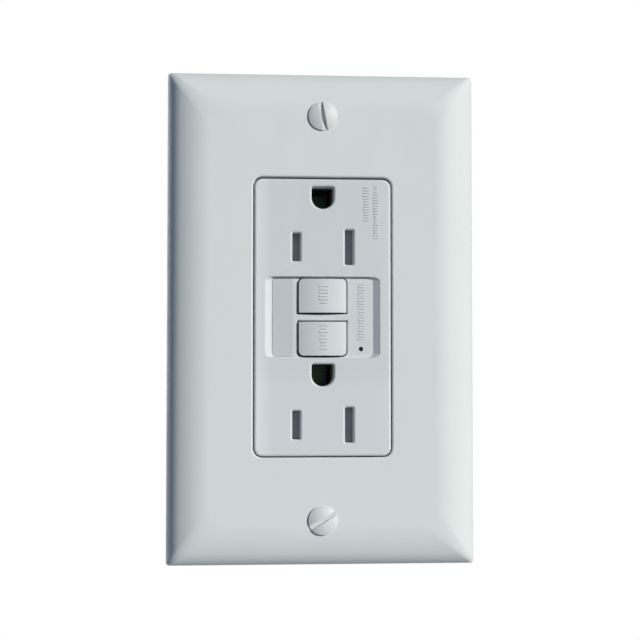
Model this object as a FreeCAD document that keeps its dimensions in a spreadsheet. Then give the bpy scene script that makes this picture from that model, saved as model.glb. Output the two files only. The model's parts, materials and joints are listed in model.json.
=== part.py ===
"""A duplex ground-fault outlet with its wall plate, built as separate pieces.

Millimetres. +X is right, +Y goes into the wall and +Z is up. The origin lies on the wall's
surface, midway between the two screws that hold the outlet in its box.
"""
import FreeCAD, Part
import math
import operator
import os

import Sketcher
from FreeCAD import Placement, Rotation, Vector

DIMENSIONS = {
    # wall plate
    "plate_width": 74.6,
    "plate_height": 119.1,
    "plate_depth": 6.0,
    "plate_wall": 2.0,
    "plate_edge_run": 10.2,
    "plate_edge_side": 0.77,
    "plate_edge_draft": 0.2,
    "plate_corner_run": 3.05,
    "plate_corner_drop": 3.51,
    "plate_corner_radius": 6.5,
    "plate_outline_corner": 0.9,
    "plate_screw_spacing": 96.84,
    "plate_boss_radius": 3.2,
    "opening_gap": 0.3,
    "opening_top_gap": 0.5,
    "opening_round": 0.45,
    # oval-head plate screws
    "plate_head_radius": 3.5,
    "plate_head_crown": 0.85,
    "plate_head_taper": 1.9,
    "plate_head_rim": 0.15,
    "plate_head_lift": 0.45,
    "plate_screw_radius": 1.7,
    "plate_screw_reach": 12.7,
    "driver_slot_width": 1.1,
    "driver_slot_depth": 1.0,
    # face of the outlet
    "face_width": 32.8,
    "face_height": 66.4,
    "face_corner": 2.0,
    "face_front": 6.1,
    "face_edge_round": 0.6,
    "flange_width": 42.5,
    "flange_height": 69.5,
    "flange_front": 3.4,
    "flange_corner": 1.5,
    # receptacles: blades and ground pin
    "upper_blades_height": 16.8,
    "receptacle_spacing": 42.6,
    "ground_above_blades": 11.9,
    "blade_offset": 6.35,
    "hot_slot_width": 1.87,
    "hot_slot_height": 6.8,
    "neutral_slot_width": 2.0,
    "neutral_slot_height": 8.4,
    "slot_round": 0.6,
    "slot_corner": 0.3,
    "ground_hole_radius": 2.65,
    "ground_hole_corner": 0.5,
    # button recess
    "recess_half_width": 13.85,
    "recess_half_height": 9.75,
    "recess_depth": 1.1,
    "recess_slope": 1.65,
    "recess_corner": 1.2,
    "button_half_width": 5.7,
    "button_low": 1.1,
    "button_high": 9.2,
    "button_gap": 0.3,
    "button_crown": 0.7,
    "button_front": 6.35,
    "button_back": 2.1,
    "button_corner": 1.15,
    "button_flange": 1.0,
    "button_flange_end": 1.3,
    "button_travel": 1.2,
    "window_chamfer": 0.2,
    "stem_radius": 1.2,
    "face_wall": 1.5,
    "strip_inner": 7.3,
    "strip_outer": 12.1,
    "strip_thickness": 0.25,
    "strip_low_margin": 0.3,
    "strip_high_margin": 0.5,
    "lamp_across": 9.3,
    "lamp_height": -7.6,
    "lamp_radius": 0.55,
    # mounting strap
    "strap_thickness": 1.2,
    "strap_web_half": 15.0,
    "strap_length": 106.4,
    "ear_half_width": 16.5,
    "ear_tip_half_width": 20.75,
    "ear_tip_length": 8.4,
    "box_screw_spacing": 83.34,
    "box_slot_length": 7.0,
    "box_slot_width": 4.2,
    "box_thread_radius": 1.7525,
    "box_neck_radius": 1.5,
    "box_head_radius": 3.45,
    "box_head_height": 2.0,
    "box_screw_reach": 24.0,
    "retainer_thickness": 0.4,
    "retainer_half": 5.0,
    "ground_screw_across": 12.75,
    "ground_screw_depth": 8.5,
    "ground_tab_inner": 9.0,
    "ground_tab_end": 5.5,
    "ground_tab_drop": 1.4,
    # inside
    "middle_depth": 12.0,
    "middle_half_width": 19.1,
    "middle_half_height": 32.6,
    "middle_wall": 2.0,
    "spring_pocket_depth": 4.6,
    "well_wall": 1.4,
    "contact_thickness": 0.8,
    "contact_gap": 1.0,
    "shutter_travel": 2.6,
    "shutter_thickness": 2.0,
    "shutter_gap": 0.2,
    "shutter_half_height": 5.0,
    "shutter_left": 11.4,
    "shutter_room_right": 12.2,
    "shutter_spring_room": 4.2,
    "shutter_spring_radius": 0.9,
    "button_spring_radius": 2.5,
    "plunger_spring_radius": 1.8,
    "break_spring_radius": 1.7,
    "board_front": 13.0,
    "board_thickness": 1.6,
    "rear_depth": 13.4,
    "rear_wall": 1.8,
    "rear_back_round": 1.2,
    "assembly_across": 17.0,
    "assembly_height": 30.3,
    "assembly_radius": 1.1,
    "assembly_head_radius": 1.95,
    "assembly_head_height": 1.3,
    "assembly_head_recess": 1.4,
    "assembly_reach": 2.4,
    "terminal_height": 14.0,
    "terminal_depth": 8.2,
    "terminal_shank_radius": 2.05,
    "terminal_head_radius": 4.1,
    "terminal_head_height": 2.6,
    "terminal_reach": 5.0,
    "terminal_half": 4.0,
    "finger_half_height": 3.0,
    "load_point_across": 11.2,
    "load_point_height": -8.6,
    "line_point_across": 10.4,
    "line_point_height": -2.4,
    "point_height": 0.3,
    "clamp_thickness": 1.2,
    "wire_hole": 2.2,
    "wire_step": 3.1,
    "reset_pin_radius": 1.0,
    "button_middle": 5.2,
    "spring_wire": 0.4,
    "clearance": 0.3,
    "coil_centre_height": 22.0,
    "core_outer_radius": 6.4,
    "core_inner_radius": 3.8,
    "core_thickness": 2.4,
    "winding_thickness": 0.7,
    "solenoid_depth": 5.9,
    "solenoid_low": 1.6,
    "solenoid_high": 12.4,
    "bobbin_half": 5.2,
    "bobbin_end": 0.9,
    "frame_half": 4.6,
    "winding_radius": 4.5,
    "plunger_radius": 1.7,
    "plunger_travel": 1.6,
    "plunger_front": 0.3,
    "plunger_back": 8.4,
    "carrier_travel": 1.6,
    "carrier_front": 0.05,
    "carrier_thickness": 1.2,
    "carrier_half_width": 13.2,
    "carrier_low": 10.2,
    "carrier_high": 0.6,
    "hub_half_width": 6.4,
    "hub_reach": 3.5,
    "latch_half_width": 4.6,
    "latch_half_depth": 1.6,
    "latch_gap": 0.2,
    "pin_reach": 2.9,
    "bridge_thickness": 0.7,
}

OPERATIONS = {"+": operator.add, "-": operator.sub, "*": operator.mul, "/": operator.truediv}


class Size:
    """A length in millimetres, with the sheet expression that gives it."""

    def __init__(self, value, text):
        self.value = value
        self.text = text

    def __add__(self, other):
        return combine(self, "+", other)

    def __radd__(self, other):
        return combine(other, "+", self)

    def __sub__(self, other):
        return combine(self, "-", other)

    def __rsub__(self, other):
        return combine(other, "-", self)

    def __mul__(self, other):
        return combine(self, "*", other)

    def __rmul__(self, other):
        return combine(other, "*", self)

    def __truediv__(self, other):
        return combine(self, "/", other)

    def __neg__(self):
        return combine(0, "-", self)


def as_size(number):
    """Wraps a plain number, so that every length is a Size."""
    if isinstance(number, Size):
        return number
    return Size(float(number), f"({float(number)})")


def combine(first, sign, second):
    first = as_size(first)
    second = as_size(second)
    value = OPERATIONS[sign](first.value, second.value)
    return Size(value, f"({first.text} {sign} {second.text})")


class SizeSheet:
    """The spreadsheet of driving dimensions; each alias is read as an attribute."""

    def __init__(self, document, dimensions):
        sheet = document.addObject("Spreadsheet::Sheet", "sizes")
        for row, (name, value) in enumerate(dimensions.items(), start=1):
            sheet.set(f"A{row}", name.replace("_", " "))
            sheet.set(f"B{row}", str(value))
            sheet.setAlias(f"B{row}", name)

    def __getattr__(self, name):
        return Size(float(DIMENSIONS[name]), f"sizes.{name}")


doc = FreeCAD.newDocument("ground_fault_outlet")
s = SizeSheet(doc, DIMENSIONS)
doc.recompute()
nodes = []


# ---------------------------------------------------------------- helpers

def bind(thing, path, size):
    """Ties one property of a document object to the sheet."""
    thing.setExpression(path, as_size(size).text)


def node(thing, name):
    """Marks an object as one sub-part; its Label names its file."""
    thing.Label = name
    nodes.append(thing)
    return thing


def new_body(name):
    return doc.addObject("PartDesign::Body", name)


def plane_of(body, role):
    for feature in body.Origin.OriginFeatures:
        if feature.Role == role:
            return feature
    raise ValueError(role)


def arc_between(start, end, radius):
    """The short arc from start to end; a positive radius turns anticlockwise."""
    chord = end - start
    half = chord.Length / 2
    rise = math.sqrt(max(radius * radius - half * half, 0))
    left = Vector(-chord.y, chord.x, 0).normalize()
    centre = start + chord / 2 + left * math.copysign(rise, radius)
    first, last = (start, end) if radius > 0 else (end, start)
    angles = [math.atan2(p.y - centre.y, p.x - centre.x) for p in (first, last)]
    if angles[1] < angles[0]:
        angles[1] += 2 * math.pi
    circle = Part.Circle(centre, Vector(0, 0, 1), abs(radius))
    return Part.ArcOfCircle(circle, angles[0], angles[1])


def constrain(sketch, kind, *arguments):
    """Adds one sized constraint and ties it to the sheet."""
    size = as_size(arguments[-1])
    index = sketch.addConstraint(Sketcher.Constraint(kind, *arguments[:-1], size.value))
    sketch.setExpression(f"Constraints[{index}]", size.text)


def draw_circle(sketch, across, up, radius):
    centre = Vector(as_size(across).value, as_size(up).value, 0)
    circle = Part.Circle(centre, Vector(0, 0, 1), as_size(radius).value)
    index = sketch.addGeometry(circle, False)
    constrain(sketch, "DistanceX", -1, 1, index, 3, across)
    constrain(sketch, "DistanceY", -1, 1, index, 3, up)
    constrain(sketch, "Radius", index, radius)


def draw_loop(sketch, points):
    """Draws a closed outline. A point's third number makes the next edge an arc of that radius."""
    corners = [[as_size(number) for number in point] for point in points]
    places = [Vector(corner[0].value, corner[1].value, 0) for corner in corners]
    first = sketch.GeometryCount
    ends = []
    for i, corner in enumerate(corners):
        start, end = places[i], places[(i + 1) % len(places)]
        if len(corner) == 3:
            sketch.addGeometry(arc_between(start, end, corner[2].value), False)
            ends.append((1, 2) if corner[2].value > 0 else (2, 1))
        else:
            sketch.addGeometry(Part.LineSegment(start, end), False)
            ends.append((1, 2))
    for i in range(len(corners)):
        after = (i + 1) % len(corners)
        joint = Sketcher.Constraint("Coincident", first + i, ends[i][1], first + after, ends[after][0])
        sketch.addConstraint(joint)
    for i, corner in enumerate(corners):
        constrain(sketch, "DistanceX", -1, 1, first + i, ends[i][0], corner[0])
        constrain(sketch, "DistanceY", -1, 1, first + i, ends[i][0], corner[1])
        if len(corner) == 3:
            radius = corner[2] if corner[2].value > 0 else -corner[2]
            constrain(sketch, "Radius", first + i, radius)


def sketch_on(body, role, offset, loops):
    """A sketch on one of the body's own planes, moved along the plane's normal."""
    sketch = body.newObject("Sketcher::SketchObject", f"{body.Name}_outline")
    sketch.AttachmentSupport = [(plane_of(body, role), "")]
    sketch.MapMode = "FlatFace"
    bind(sketch, ".AttachmentOffset.Base.z", offset)
    for loop in loops:
        if isinstance(loop, tuple):
            draw_circle(sketch, *loop)
        else:
            draw_loop(sketch, loop)
    return sketch


def pad(body, role, loops, low, high):
    """Adds material between two levels along the plane's own row axis."""
    offset = -as_size(high) if role == "XZ_Plane" else low
    sketch = sketch_on(body, role, offset, loops)
    feature = body.newObject("PartDesign::Pad", f"{body.Name}_pad")
    feature.Profile = sketch
    bind(feature, "Length", as_size(high) - low)
    return feature


def pocket(body, role, loops, low, high):
    """Removes material between two levels along the plane's own row axis."""
    offset = -as_size(low) if role == "XZ_Plane" else high
    sketch = sketch_on(body, role, offset, loops)
    feature = body.newObject("PartDesign::Pocket", f"{body.Name}_pocket")
    feature.Profile = sketch
    bind(feature, "Length", as_size(high) - low)
    return feature


def revolve(body, role, loops, axis):
    """Turns an outline about the sketch's own axis."""
    sketch = sketch_on(body, role, 0, loops)
    feature = body.newObject("PartDesign::Revolution", f"{body.Name}_turned")
    feature.Profile = sketch
    feature.ReferenceAxis = (sketch, [axis])
    feature.Angle = 360
    return feature


def edges_at(feature, test):
    """Names the edges whose whole length passes the test."""
    doc.recompute()
    names = []
    for number, edge in enumerate(feature.Shape.Edges, start=1):
        middle = edge.valueAt((edge.FirstParameter + edge.LastParameter) / 2)
        points = [vertex.Point for vertex in edge.Vertexes] + [middle]
        if all(test(point) for point in points):
            names.append(f"Edge{number}")
    return names


def dress(body, kind, feature, names, path, size):
    """Rounds or chamfers named edges of a feature."""
    dressed = body.newObject(f"PartDesign::{kind}", f"{body.Name}_{kind.lower()}")
    dressed.Base = (feature, names)
    bind(dressed, path, size)
    return dressed


def rectangle(left, right, low, high):
    return [(left, low), (right, low), (right, high), (left, high)]


def rounded(left, right, low, high, radius):
    left, right, low, high = (as_size(v) for v in (left, right, low, high))
    return [
        (left + radius, low),
        (right - radius, low, radius),
        (right, low + radius),
        (right, high - radius, radius),
        (right - radius, high),
        (left + radius, high, radius),
        (left, high - radius),
        (left, low + radius, radius),
    ]


def box(name, x_range, y_range, z_range):
    solid = doc.addObject("Part::Box", name)
    for side, axis, (low, high) in zip(("Length", "Width", "Height"), "xyz", (x_range, y_range, z_range)):
        bind(solid, side, as_size(high) - low)
        bind(solid, f".Placement.Base.{axis}", low)
    return solid


AXIS_TURNS = {
    "x": Rotation(Vector(0, 1, 0), 90),
    "y": Rotation(Vector(1, 0, 0), -90),
    "z": Rotation(),
}


def cylinder(name, axis, place, radius, low, high):
    """A cylinder along a row axis, between two levels; place gives the other two coordinates."""
    solid = doc.addObject("Part::Cylinder", name)
    solid.Placement = Placement(Vector(), AXIS_TURNS[axis])
    others = [letter for letter in "xyz" if letter != axis]
    bind(solid, "Radius", radius)
    bind(solid, "Height", as_size(high) - low)
    bind(solid, f".Placement.Base.{axis}", low)
    for letter, coordinate in zip(others, place):
        bind(solid, f".Placement.Base.{letter}", coordinate)
    return solid


def cut(name, base, tools):
    """Cuts each tool from the base in turn."""
    for number, tool in enumerate(tools, start=1):
        result = doc.addObject("Part::Cut", f"{name}_cut_{number}")
        result.Base = base
        result.Tool = tool
        base = result
    return base


def join(name, shapes):
    result = doc.addObject("Part::MultiFuse", f"{name}_joined")
    result.Shapes = shapes
    return result


def group(name, shapes):
    """Keeps several separate solids together as one sub-part."""
    result = doc.addObject("Part::Compound", f"{name}_group")
    result.Links = shapes
    return result


def coil_spring(name, role, axis, place, radius, low, high, turns):
    """A helical spring along the sketch axis; place is (sideways, off-plane)."""
    body = new_body(name)
    wire = s.spring_wire / 2
    sideways, away = place
    start = as_size(low) + wire
    centre = (as_size(radius) - wire, start) if axis == "V_Axis" else (start, as_size(radius) - wire)
    sketch = sketch_on(body, role, away, [(centre[0], centre[1], wire)])
    bind(sketch, ".AttachmentOffset.Base.x" if axis == "V_Axis" else ".AttachmentOffset.Base.y", sideways)
    helix = body.newObject("PartDesign::AdditiveHelix", f"{name}_helix")
    helix.Profile = sketch
    helix.ReferenceAxis = (sketch, [axis])
    helix.Mode = "pitch-turns-angle"
    bind(helix, "Pitch", (as_size(high) - low - s.spring_wire) / turns)
    helix.Turns = turns
    return body


# ---------------------------------------------------------------- shared places

upper_blades = s.upper_blades_height
lower_blades = s.upper_blades_height - s.receptacle_spacing
RECEPTACLES = {"upper": upper_blades, "lower": lower_blades}
seat_gap = as_size(0.05)
face_back = -s.strap_thickness
recess_floor = s.recess_depth - s.face_front
cover_inside = recess_floor + s.face_wall
opening_half_width = s.face_width / 2 + s.opening_gap
opening_low = -s.face_height / 2 - s.opening_gap
opening_high = s.face_height / 2 + s.opening_top_gap
flange_half_width = s.flange_width / 2
flange_half_height = s.flange_height / 2
board_back = s.board_front + s.board_thickness
rear_back = board_back + s.rear_depth
solenoid_axis = board_back + s.solenoid_depth
carrier_rest = s.middle_depth + s.carrier_front
hub_back = solenoid_axis + s.hub_reach
latch_front = solenoid_axis - s.latch_half_depth
latch_back = solenoid_axis + s.latch_half_depth
spring_floor = s.middle_depth - s.spring_pocket_depth
well_floor = spring_floor - s.well_wall
stem_back = well_floor + 0.6
rear_inner_width = flange_half_width - s.rear_wall
rear_inner_height = flange_half_height - s.rear_wall
rear_floor = rear_back - s.rear_wall
terminal_plate_inner = rear_inner_width + 0.05
terminal_plate_outer = terminal_plate_inner + s.contact_thickness
wire_across = terminal_plate_inner - 1.4
bus_outer = s.blade_offset + 6.25
bus_inner = bus_outer - s.contact_thickness
bus_back = s.middle_depth - 1.6
bus_front = bus_back - 4.0
finger_front = s.middle_wall + 0.6
terminal_leg_back = s.middle_depth - 0.2
strip_low = s.strip_low_margin - s.recess_half_height
strip_high = s.recess_half_height - s.strip_high_margin
shutter_back = face_back - s.shutter_gap
shutter_front = shutter_back - s.shutter_thickness
shutter_right = s.shutter_room_right - s.shutter_spring_room
sleeve_back = as_size(1.5)
pin_front = -s.button_back - 0.5
ground_tab_low = -flange_half_height - s.ground_tab_drop
CORNERS = [(across, up) for across in (-1, 1) for up in (-1, 1)]


def span(side, inner, outer):
    """Two levels on one side of the middle, lower one first."""
    ends = (as_size(inner) * side, as_size(outer) * side)
    return ends if side > 0 else (ends[1], ends[0])


def upright(side, inner, outer, low, high):
    """A rectangle on one side of the middle, given by its nearer and farther edges."""
    ends = span(side, inner, outer)
    return rectangle(ends[0], ends[1], low, high)


def ground_of(blades):
    return blades + s.ground_above_blades


# ---------------------------------------------------------------- wall plate

def plate_outline(half, depth, run, side, inset):
    """The plate's section: flat front, long soft edge curve, tighter corner arc, short side."""
    corner_radius = s.plate_corner_radius - inset
    share = corner_radius / s.plate_corner_radius
    corner_run = s.plate_corner_run * share
    corner_drop = s.plate_corner_drop * share
    drop = depth - side - corner_drop
    span = run - s.plate_edge_draft - corner_run
    soft = (span * span + drop * drop) / (drop * 2)
    edge = half - s.plate_edge_draft
    curve = edge - corner_run
    flat = half - run
    low = side + corner_drop
    return [
        (-half, 0),
        (-edge, -side, corner_radius),
        (-curve, -low, soft),
        (-flat, -depth),
        (flat, -depth, soft),
        (curve, -low, corner_radius),
        (edge, -side),
        (half, 0),
    ]


def swapped(loop):
    """The same outline with its two coordinates exchanged, which reverses its arcs."""
    return [(p[1], p[0]) + tuple(-radius for radius in p[2:]) for p in loop]


def plate_form(name, inset, side):
    """A solid whose four edges follow the plate's section, with mitred and rounded corners."""
    width = s.plate_width / 2 - inset
    height = s.plate_height / 2 - inset
    depth = s.plate_depth - inset
    run = s.plate_edge_run - inset
    across = new_body(f"{name}_across")
    pad(across, "XY_Plane", [plate_outline(width, depth, run, side, inset)], -height, height)
    along = new_body(f"{name}_along")
    pad(along, "YZ_Plane", [swapped(plate_outline(height, depth, run, side, inset))], -width, width)
    outline = new_body(f"{name}_outline")
    pad(outline, "XZ_Plane", [rounded(-width, width, -height, height, s.plate_outline_corner)], -depth, 0)
    form = doc.addObject("Part::MultiCommon", name)
    form.Shapes = [across, along, outline]
    return form


def wall_plate():
    outside = plate_form("plate_outside", as_size(0), s.plate_edge_side)
    hollow = plate_form("plate_hollow", s.plate_wall, s.plate_edge_side - s.plate_wall * 0.34)
    shell = cut("plate_shell", outside, [hollow])
    bosses = [
        cylinder(f"plate_boss_{sign}", "y", (0, s.plate_screw_spacing / 2 * sign), s.plate_boss_radius,
                 s.plate_wall / 2 - s.plate_depth, face_back)
        for sign in (-1, 1)
    ]
    blank = join("plate_blank", [shell] + bosses)
    opening = new_body("plate_opening")
    corner = s.face_corner + s.opening_gap
    window = rounded(-opening_half_width, opening_half_width, opening_low, opening_high, corner)
    pad(opening, "XZ_Plane", [window], -s.plate_depth - 1, 0)
    flare = pad(opening, "XZ_Plane", [window], -s.plate_depth, s.opening_round - s.plate_depth)
    flare.TaperAngle = 45
    holes = []
    raised = s.plate_head_lift - s.plate_head_rim
    slope = (s.plate_head_radius - s.plate_screw_radius) / s.plate_head_taper
    for sign in (-1, 1):
        height = s.plate_screw_spacing / 2 * sign
        hole_radius = s.plate_screw_radius + 0.2
        holes.append(cylinder(f"plate_hole_{sign}", "y", (0, height), hole_radius, -s.plate_depth, 0))
        sink = doc.addObject("Part::Cone", "plate_countersink")
        sink.Placement = Placement(Vector(), AXIS_TURNS["y"])
        bind(sink, "Radius1", s.plate_head_radius - raised * slope + seat_gap)
        bind(sink, "Radius2", s.plate_screw_radius + seat_gap)
        bind(sink, "Height", s.plate_head_taper - raised)
        bind(sink, ".Placement.Base.y", -s.plate_depth)
        bind(sink, ".Placement.Base.z", height)
        holes.append(sink)
    return node(cut("plate", blank, [opening] + holes), "wall_plate")


def oval_screw(name, height, slot_angle):
    """An oval-head machine screw; its slot is turned from the upright by slot_angle degrees."""
    body = new_body(name)
    crown = s.plate_head_crown
    radius = s.plate_head_radius
    dome = (radius * radius + crown * crown) / (crown * 2)
    rim = -s.plate_depth - s.plate_head_lift
    top = rim - crown
    under = rim + s.plate_head_rim
    end = s.plate_screw_reach - s.plate_depth
    revolve(body, "XY_Plane", [[
        (0, top, dome),
        (radius, rim),
        (radius, under),
        (s.plate_screw_radius, under + s.plate_head_taper),
        (s.plate_screw_radius, end),
        (0, end),
    ]], "V_Axis")
    slot = rectangle(-s.driver_slot_width / 2, s.driver_slot_width / 2, -radius - 1, radius + 1)
    pocket(body, "XZ_Plane", [slot], top, top + s.driver_slot_depth)
    body.Placement = Placement(Vector(), Rotation(Vector(0, 1, 0), slot_angle))
    bind(body, ".Placement.Base.z", height)
    return body


def plate_screws():
    half = s.plate_screw_spacing / 2
    return node(group("plate_screws", [
        oval_screw("upper_plate_screw", half, -10.7),
        oval_screw("lower_plate_screw", -half, 59.5),
    ]), "plate_screws")


# ---------------------------------------------------------------- face of the outlet

def slot_outlines(blades):
    """Both blade slots of one receptacle: the short hot one on the left, the tall neutral one."""
    loops = []
    for side, width, height in ((-1, s.hot_slot_width, s.hot_slot_height),
                                (1, s.neutral_slot_width, s.neutral_slot_height)):
        middle = s.blade_offset * side
        loops.append(rounded(middle - width / 2, middle + width / 2,
                             blades - height / 2, blades + height / 2, s.slot_corner))
    return loops


def ground_outline(blades):
    """A ground hole: flat at the top, round at the bottom."""
    middle = ground_of(blades)
    radius = s.ground_hole_radius
    top = middle + radius
    corner = s.ground_hole_corner
    return [
        (-radius, middle, radius),
        (0, middle - radius, radius),
        (radius, middle),
        (radius, top - corner, corner),
        (radius - corner, top),
        (corner - radius, top, corner),
        (-radius, top - corner),
    ]


def button_window(sign):
    """A button's opening, with the same rounded outer corners as the button."""
    half = s.button_half_width + s.button_gap
    inner = (s.button_low - s.button_gap) * sign
    outer = (s.button_high + s.button_gap) * sign
    radius = s.button_corner + s.button_gap
    if sign > 0:
        return [(-half, inner), (half, inner), (half, outer - radius, radius), (half - radius, outer),
                (radius - half, outer, radius), (-half, outer - radius)]
    return [(radius - half, outer), (half - radius, outer, radius), (half, outer + radius), (half, inner),
            (-half, inner), (-half, outer + radius, radius)]


def face_cover():
    body = new_body("face_cover_body")
    half_width = s.face_width / 2
    half_height = s.face_height / 2
    front = -s.face_front
    face = rounded(-half_width, half_width, -half_height, half_height, s.face_corner)
    flange = rounded(-flange_half_width, flange_half_width, -flange_half_height, flange_half_height,
                     s.flange_corner)
    last = pad(body, "XZ_Plane", [face], front, -s.flange_front)
    rim = edges_at(last, lambda point: abs(point.y - front.value) < 0.01)
    dress(body, "Fillet", last, rim, "Radius", s.face_edge_round)
    pad(body, "XZ_Plane", [flange], -s.flange_front, face_back)
    skirts = [
        rectangle(s.strap_web_half + 0.2, flange_half_width, -flange_half_height, flange_half_height),
        rectangle(-flange_half_width, -s.strap_web_half - 0.2, -flange_half_height, flange_half_height),
    ]
    pad(body, "XZ_Plane", skirts, face_back, 0)
    openings = [ground_outline(blades) for blades in RECEPTACLES.values()]
    for blades in RECEPTACLES.values():
        openings += slot_outlines(blades)
    last = pocket(body, "XZ_Plane", openings, front, 0)
    edges = edges_at(last, lambda point: abs(point.y - front.value) < 0.01
                     and abs(point.x) < s.recess_half_width.value and abs(point.z) < half_height.value - 1)
    dress(body, "Fillet", last, edges, "Radius", s.slot_round)
    floor_half = s.recess_half_width - s.recess_slope
    recess = [(-s.recess_half_width, front), (s.recess_half_width, front),
              (floor_half, recess_floor), (-floor_half, recess_floor)]
    last = pocket(body, "XY_Plane", [recess], -s.recess_half_height, s.recess_half_height)
    ends = edges_at(last, lambda point: abs(abs(point.z) - s.recess_half_height.value) < 0.01
                    and floor_half.value - 0.01 < abs(point.x) < s.recess_half_width.value + 0.01
                    and point.y < recess_floor.value + 0.01)
    dress(body, "Fillet", last, ends, "Radius", s.recess_corner)
    last = pocket(body, "XZ_Plane", [button_window(sign) for sign in (-1, 1)], front, face_back)
    window_edge = s.button_half_width + s.button_gap
    edges = edges_at(last, lambda point: abs(point.y - recess_floor.value) < 0.01
                     and abs(point.x) < window_edge.value + 0.01
                     and abs(point.z) < (s.button_high + s.button_gap).value + 0.01)
    dress(body, "Chamfer", last, edges, "Size", s.window_chamfer)
    pocket(body, "XZ_Plane", [(s.lamp_across, s.lamp_height, s.lamp_radius)], front, face_back)
    strip = rectangle(-s.strip_outer, -s.strip_inner, strip_low, strip_high)
    pocket(body, "XZ_Plane", [strip], recess_floor, recess_floor + s.strip_thickness)
    button_room = s.button_half_width + s.button_flange + s.clearance
    room_end = s.recess_half_height + 0.45
    inside = [rectangle(-button_room, button_room, -room_end, room_end),
              (s.lamp_across, s.lamp_height, 1.5)]
    pocket(body, "XZ_Plane", inside, cover_inside, face_back)
    room_half = s.shutter_half_height + s.clearance
    shutter_rooms = [rectangle(-s.shutter_left - s.shutter_gap, s.shutter_room_right,
                               blades - room_half, blades + room_half) for blades in RECEPTACLES.values()]
    pocket(body, "XZ_Plane", shutter_rooms, shutter_front - s.shutter_gap, face_back)
    rivet_rooms = [rectangle(-6.2, 6.2, ground_of(blades) - 5.0, ground_of(blades) + 2.9)
                   for blades in RECEPTACLES.values()]
    pocket(body, "XZ_Plane", rivet_rooms, face_back - 1.2, face_back)
    screw_holes = [(s.assembly_across * across, s.assembly_height * up, s.assembly_radius + seat_gap)
                   for across, up in CORNERS]
    pocket(body, "XZ_Plane", screw_holes, -s.assembly_reach - s.shutter_gap, 0)
    return node(body, "face_cover")


def label_strip():
    strip = box("strip", (seat_gap - s.strip_outer, -s.strip_inner - seat_gap),
                (recess_floor - 0.05, recess_floor + s.strip_thickness),
                (strip_low + seat_gap, strip_high - seat_gap))
    return node(strip, "label_strip")


def push_button(name, sign, stem_reach):
    """A crowned cap with two guide flanges behind the cover and a stem for its spring."""
    body = new_body(f"{name}_body")
    half = s.button_half_width
    edge = s.button_crown - s.button_front
    crown = (half * half + s.button_crown * s.button_crown) / (s.button_crown * 2)
    back = -s.button_back
    section = [(-half, edge, crown), (0, -s.button_front, crown), (half, edge), (half, back), (-half, back)]
    low, high = (s.button_low, s.button_high) if sign > 0 else (-s.button_high, -s.button_low)
    cap = pad(body, "XY_Plane", [section], low, high)
    outer = high.value if sign > 0 else low.value
    corners = edges_at(cap, lambda point: abs(abs(point.x) - half.value) < 0.01
                       and abs(point.z - outer) < 0.01)
    dress(body, "Fillet", cap, corners, "Radius", s.button_corner)
    flange = half + s.button_flange
    guide = rectangle(-flange, flange, low + s.button_flange_end, high - s.button_flange_end)
    pad(body, "XZ_Plane", [guide], cover_inside + 0.2, back)
    centre = s.button_middle * sign
    pad(body, "XZ_Plane", [(0, centre, s.stem_radius)], back, stem_reach)
    return body


def test_button():
    return node(push_button("test_button", 1, stem_back), "test_button")


def reset_button():
    body = push_button("reset_button", -1, sleeve_back)
    pocket(body, "XZ_Plane", [(0, -s.button_middle, s.reset_pin_radius)], pin_front, sleeve_back)
    return node(body, "reset_button")


def reset_pin():
    pin = cylinder("pin_shaft", "y", (0, -s.button_middle), s.reset_pin_radius, pin_front,
                   solenoid_axis + s.pin_reach)
    return node(pin, "reset_pin")


def button_spring(which, sign):
    spring = coil_spring(f"{which}_spring_coil", "XY_Plane", "V_Axis", (0, s.button_middle * sign),
                         s.button_spring_radius, -s.button_back, well_floor, 6)
    return node(spring, f"{which}_spring")


def light_pipe():
    place = (s.lamp_across, s.lamp_height)
    pin = cylinder("pipe_pin", "y", place, s.lamp_radius - 0.05, recess_floor + 0.9, cover_inside + 0.2)
    base = cylinder("pipe_base", "y", place, 1.35, cover_inside + 0.05, face_back - 0.1)
    return node(join("pipe", [pin, base]), "light_pipe")


def status_led():
    place = (s.lamp_across, s.lamp_height)
    lens = cylinder("led_lens", "y", place, 1.2, face_back - 0.05, 0.4)
    base = cylinder("led_base", "y", place, 1.45, 0.4, 1.6)
    return node(join("led", [lens, base]), "status_led")


def shutter(which):
    """A sliding plate with two windows that stand beside the blade slots at rest."""
    blades = RECEPTACLES[which]
    body = new_body(f"{which}_shutter_body")
    half = s.shutter_half_height
    pad(body, "XZ_Plane", [rectangle(-s.shutter_left, shutter_right, blades - half, blades + half)],
        shutter_front, shutter_back)
    windows = []
    for side, height in ((-1, s.hot_slot_height), (1, s.neutral_slot_height)):
        middle = s.blade_offset * side - s.shutter_travel
        half_height = height / 2 + 0.2
        windows.append(rectangle(middle - 1.25, middle + 1.25, blades - half_height, blades + half_height))
    pocket(body, "XZ_Plane", windows, shutter_front, shutter_back)
    return node(body, f"{which}_shutter")


def shutter_spring(which):
    middle = (shutter_front + shutter_back) / 2
    body = coil_spring(f"{which}_shutter_coil", "XZ_Plane", "H_Axis", (RECEPTACLES[which], -middle),
                       s.shutter_spring_radius, shutter_right + 0.05, s.shutter_room_right - 0.05, 5)
    return node(body, f"{which}_shutter_spring")


# ---------------------------------------------------------------- strap and its screws

def strap_outline():
    """The strap seen from the front: a straight web and two ears with wide tips."""
    end = s.strap_length / 2
    tip = end - s.ear_tip_length
    web = s.strap_web_half
    neck = flange_half_height
    ear = s.ear_half_width
    wide = s.ear_tip_half_width
    quarter = [(web, neck), (ear, neck), (ear, tip), (wide, tip), (wide, end - 2), (wide - 2, end)]
    mirror_top = [(-x, z) for x, z in reversed(quarter)]
    bottom_left = [(-x, -z) for x, z in quarter]
    bottom_right = [(x, -z) for x, z in reversed(quarter)]
    return quarter + mirror_top + bottom_left + bottom_right


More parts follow.
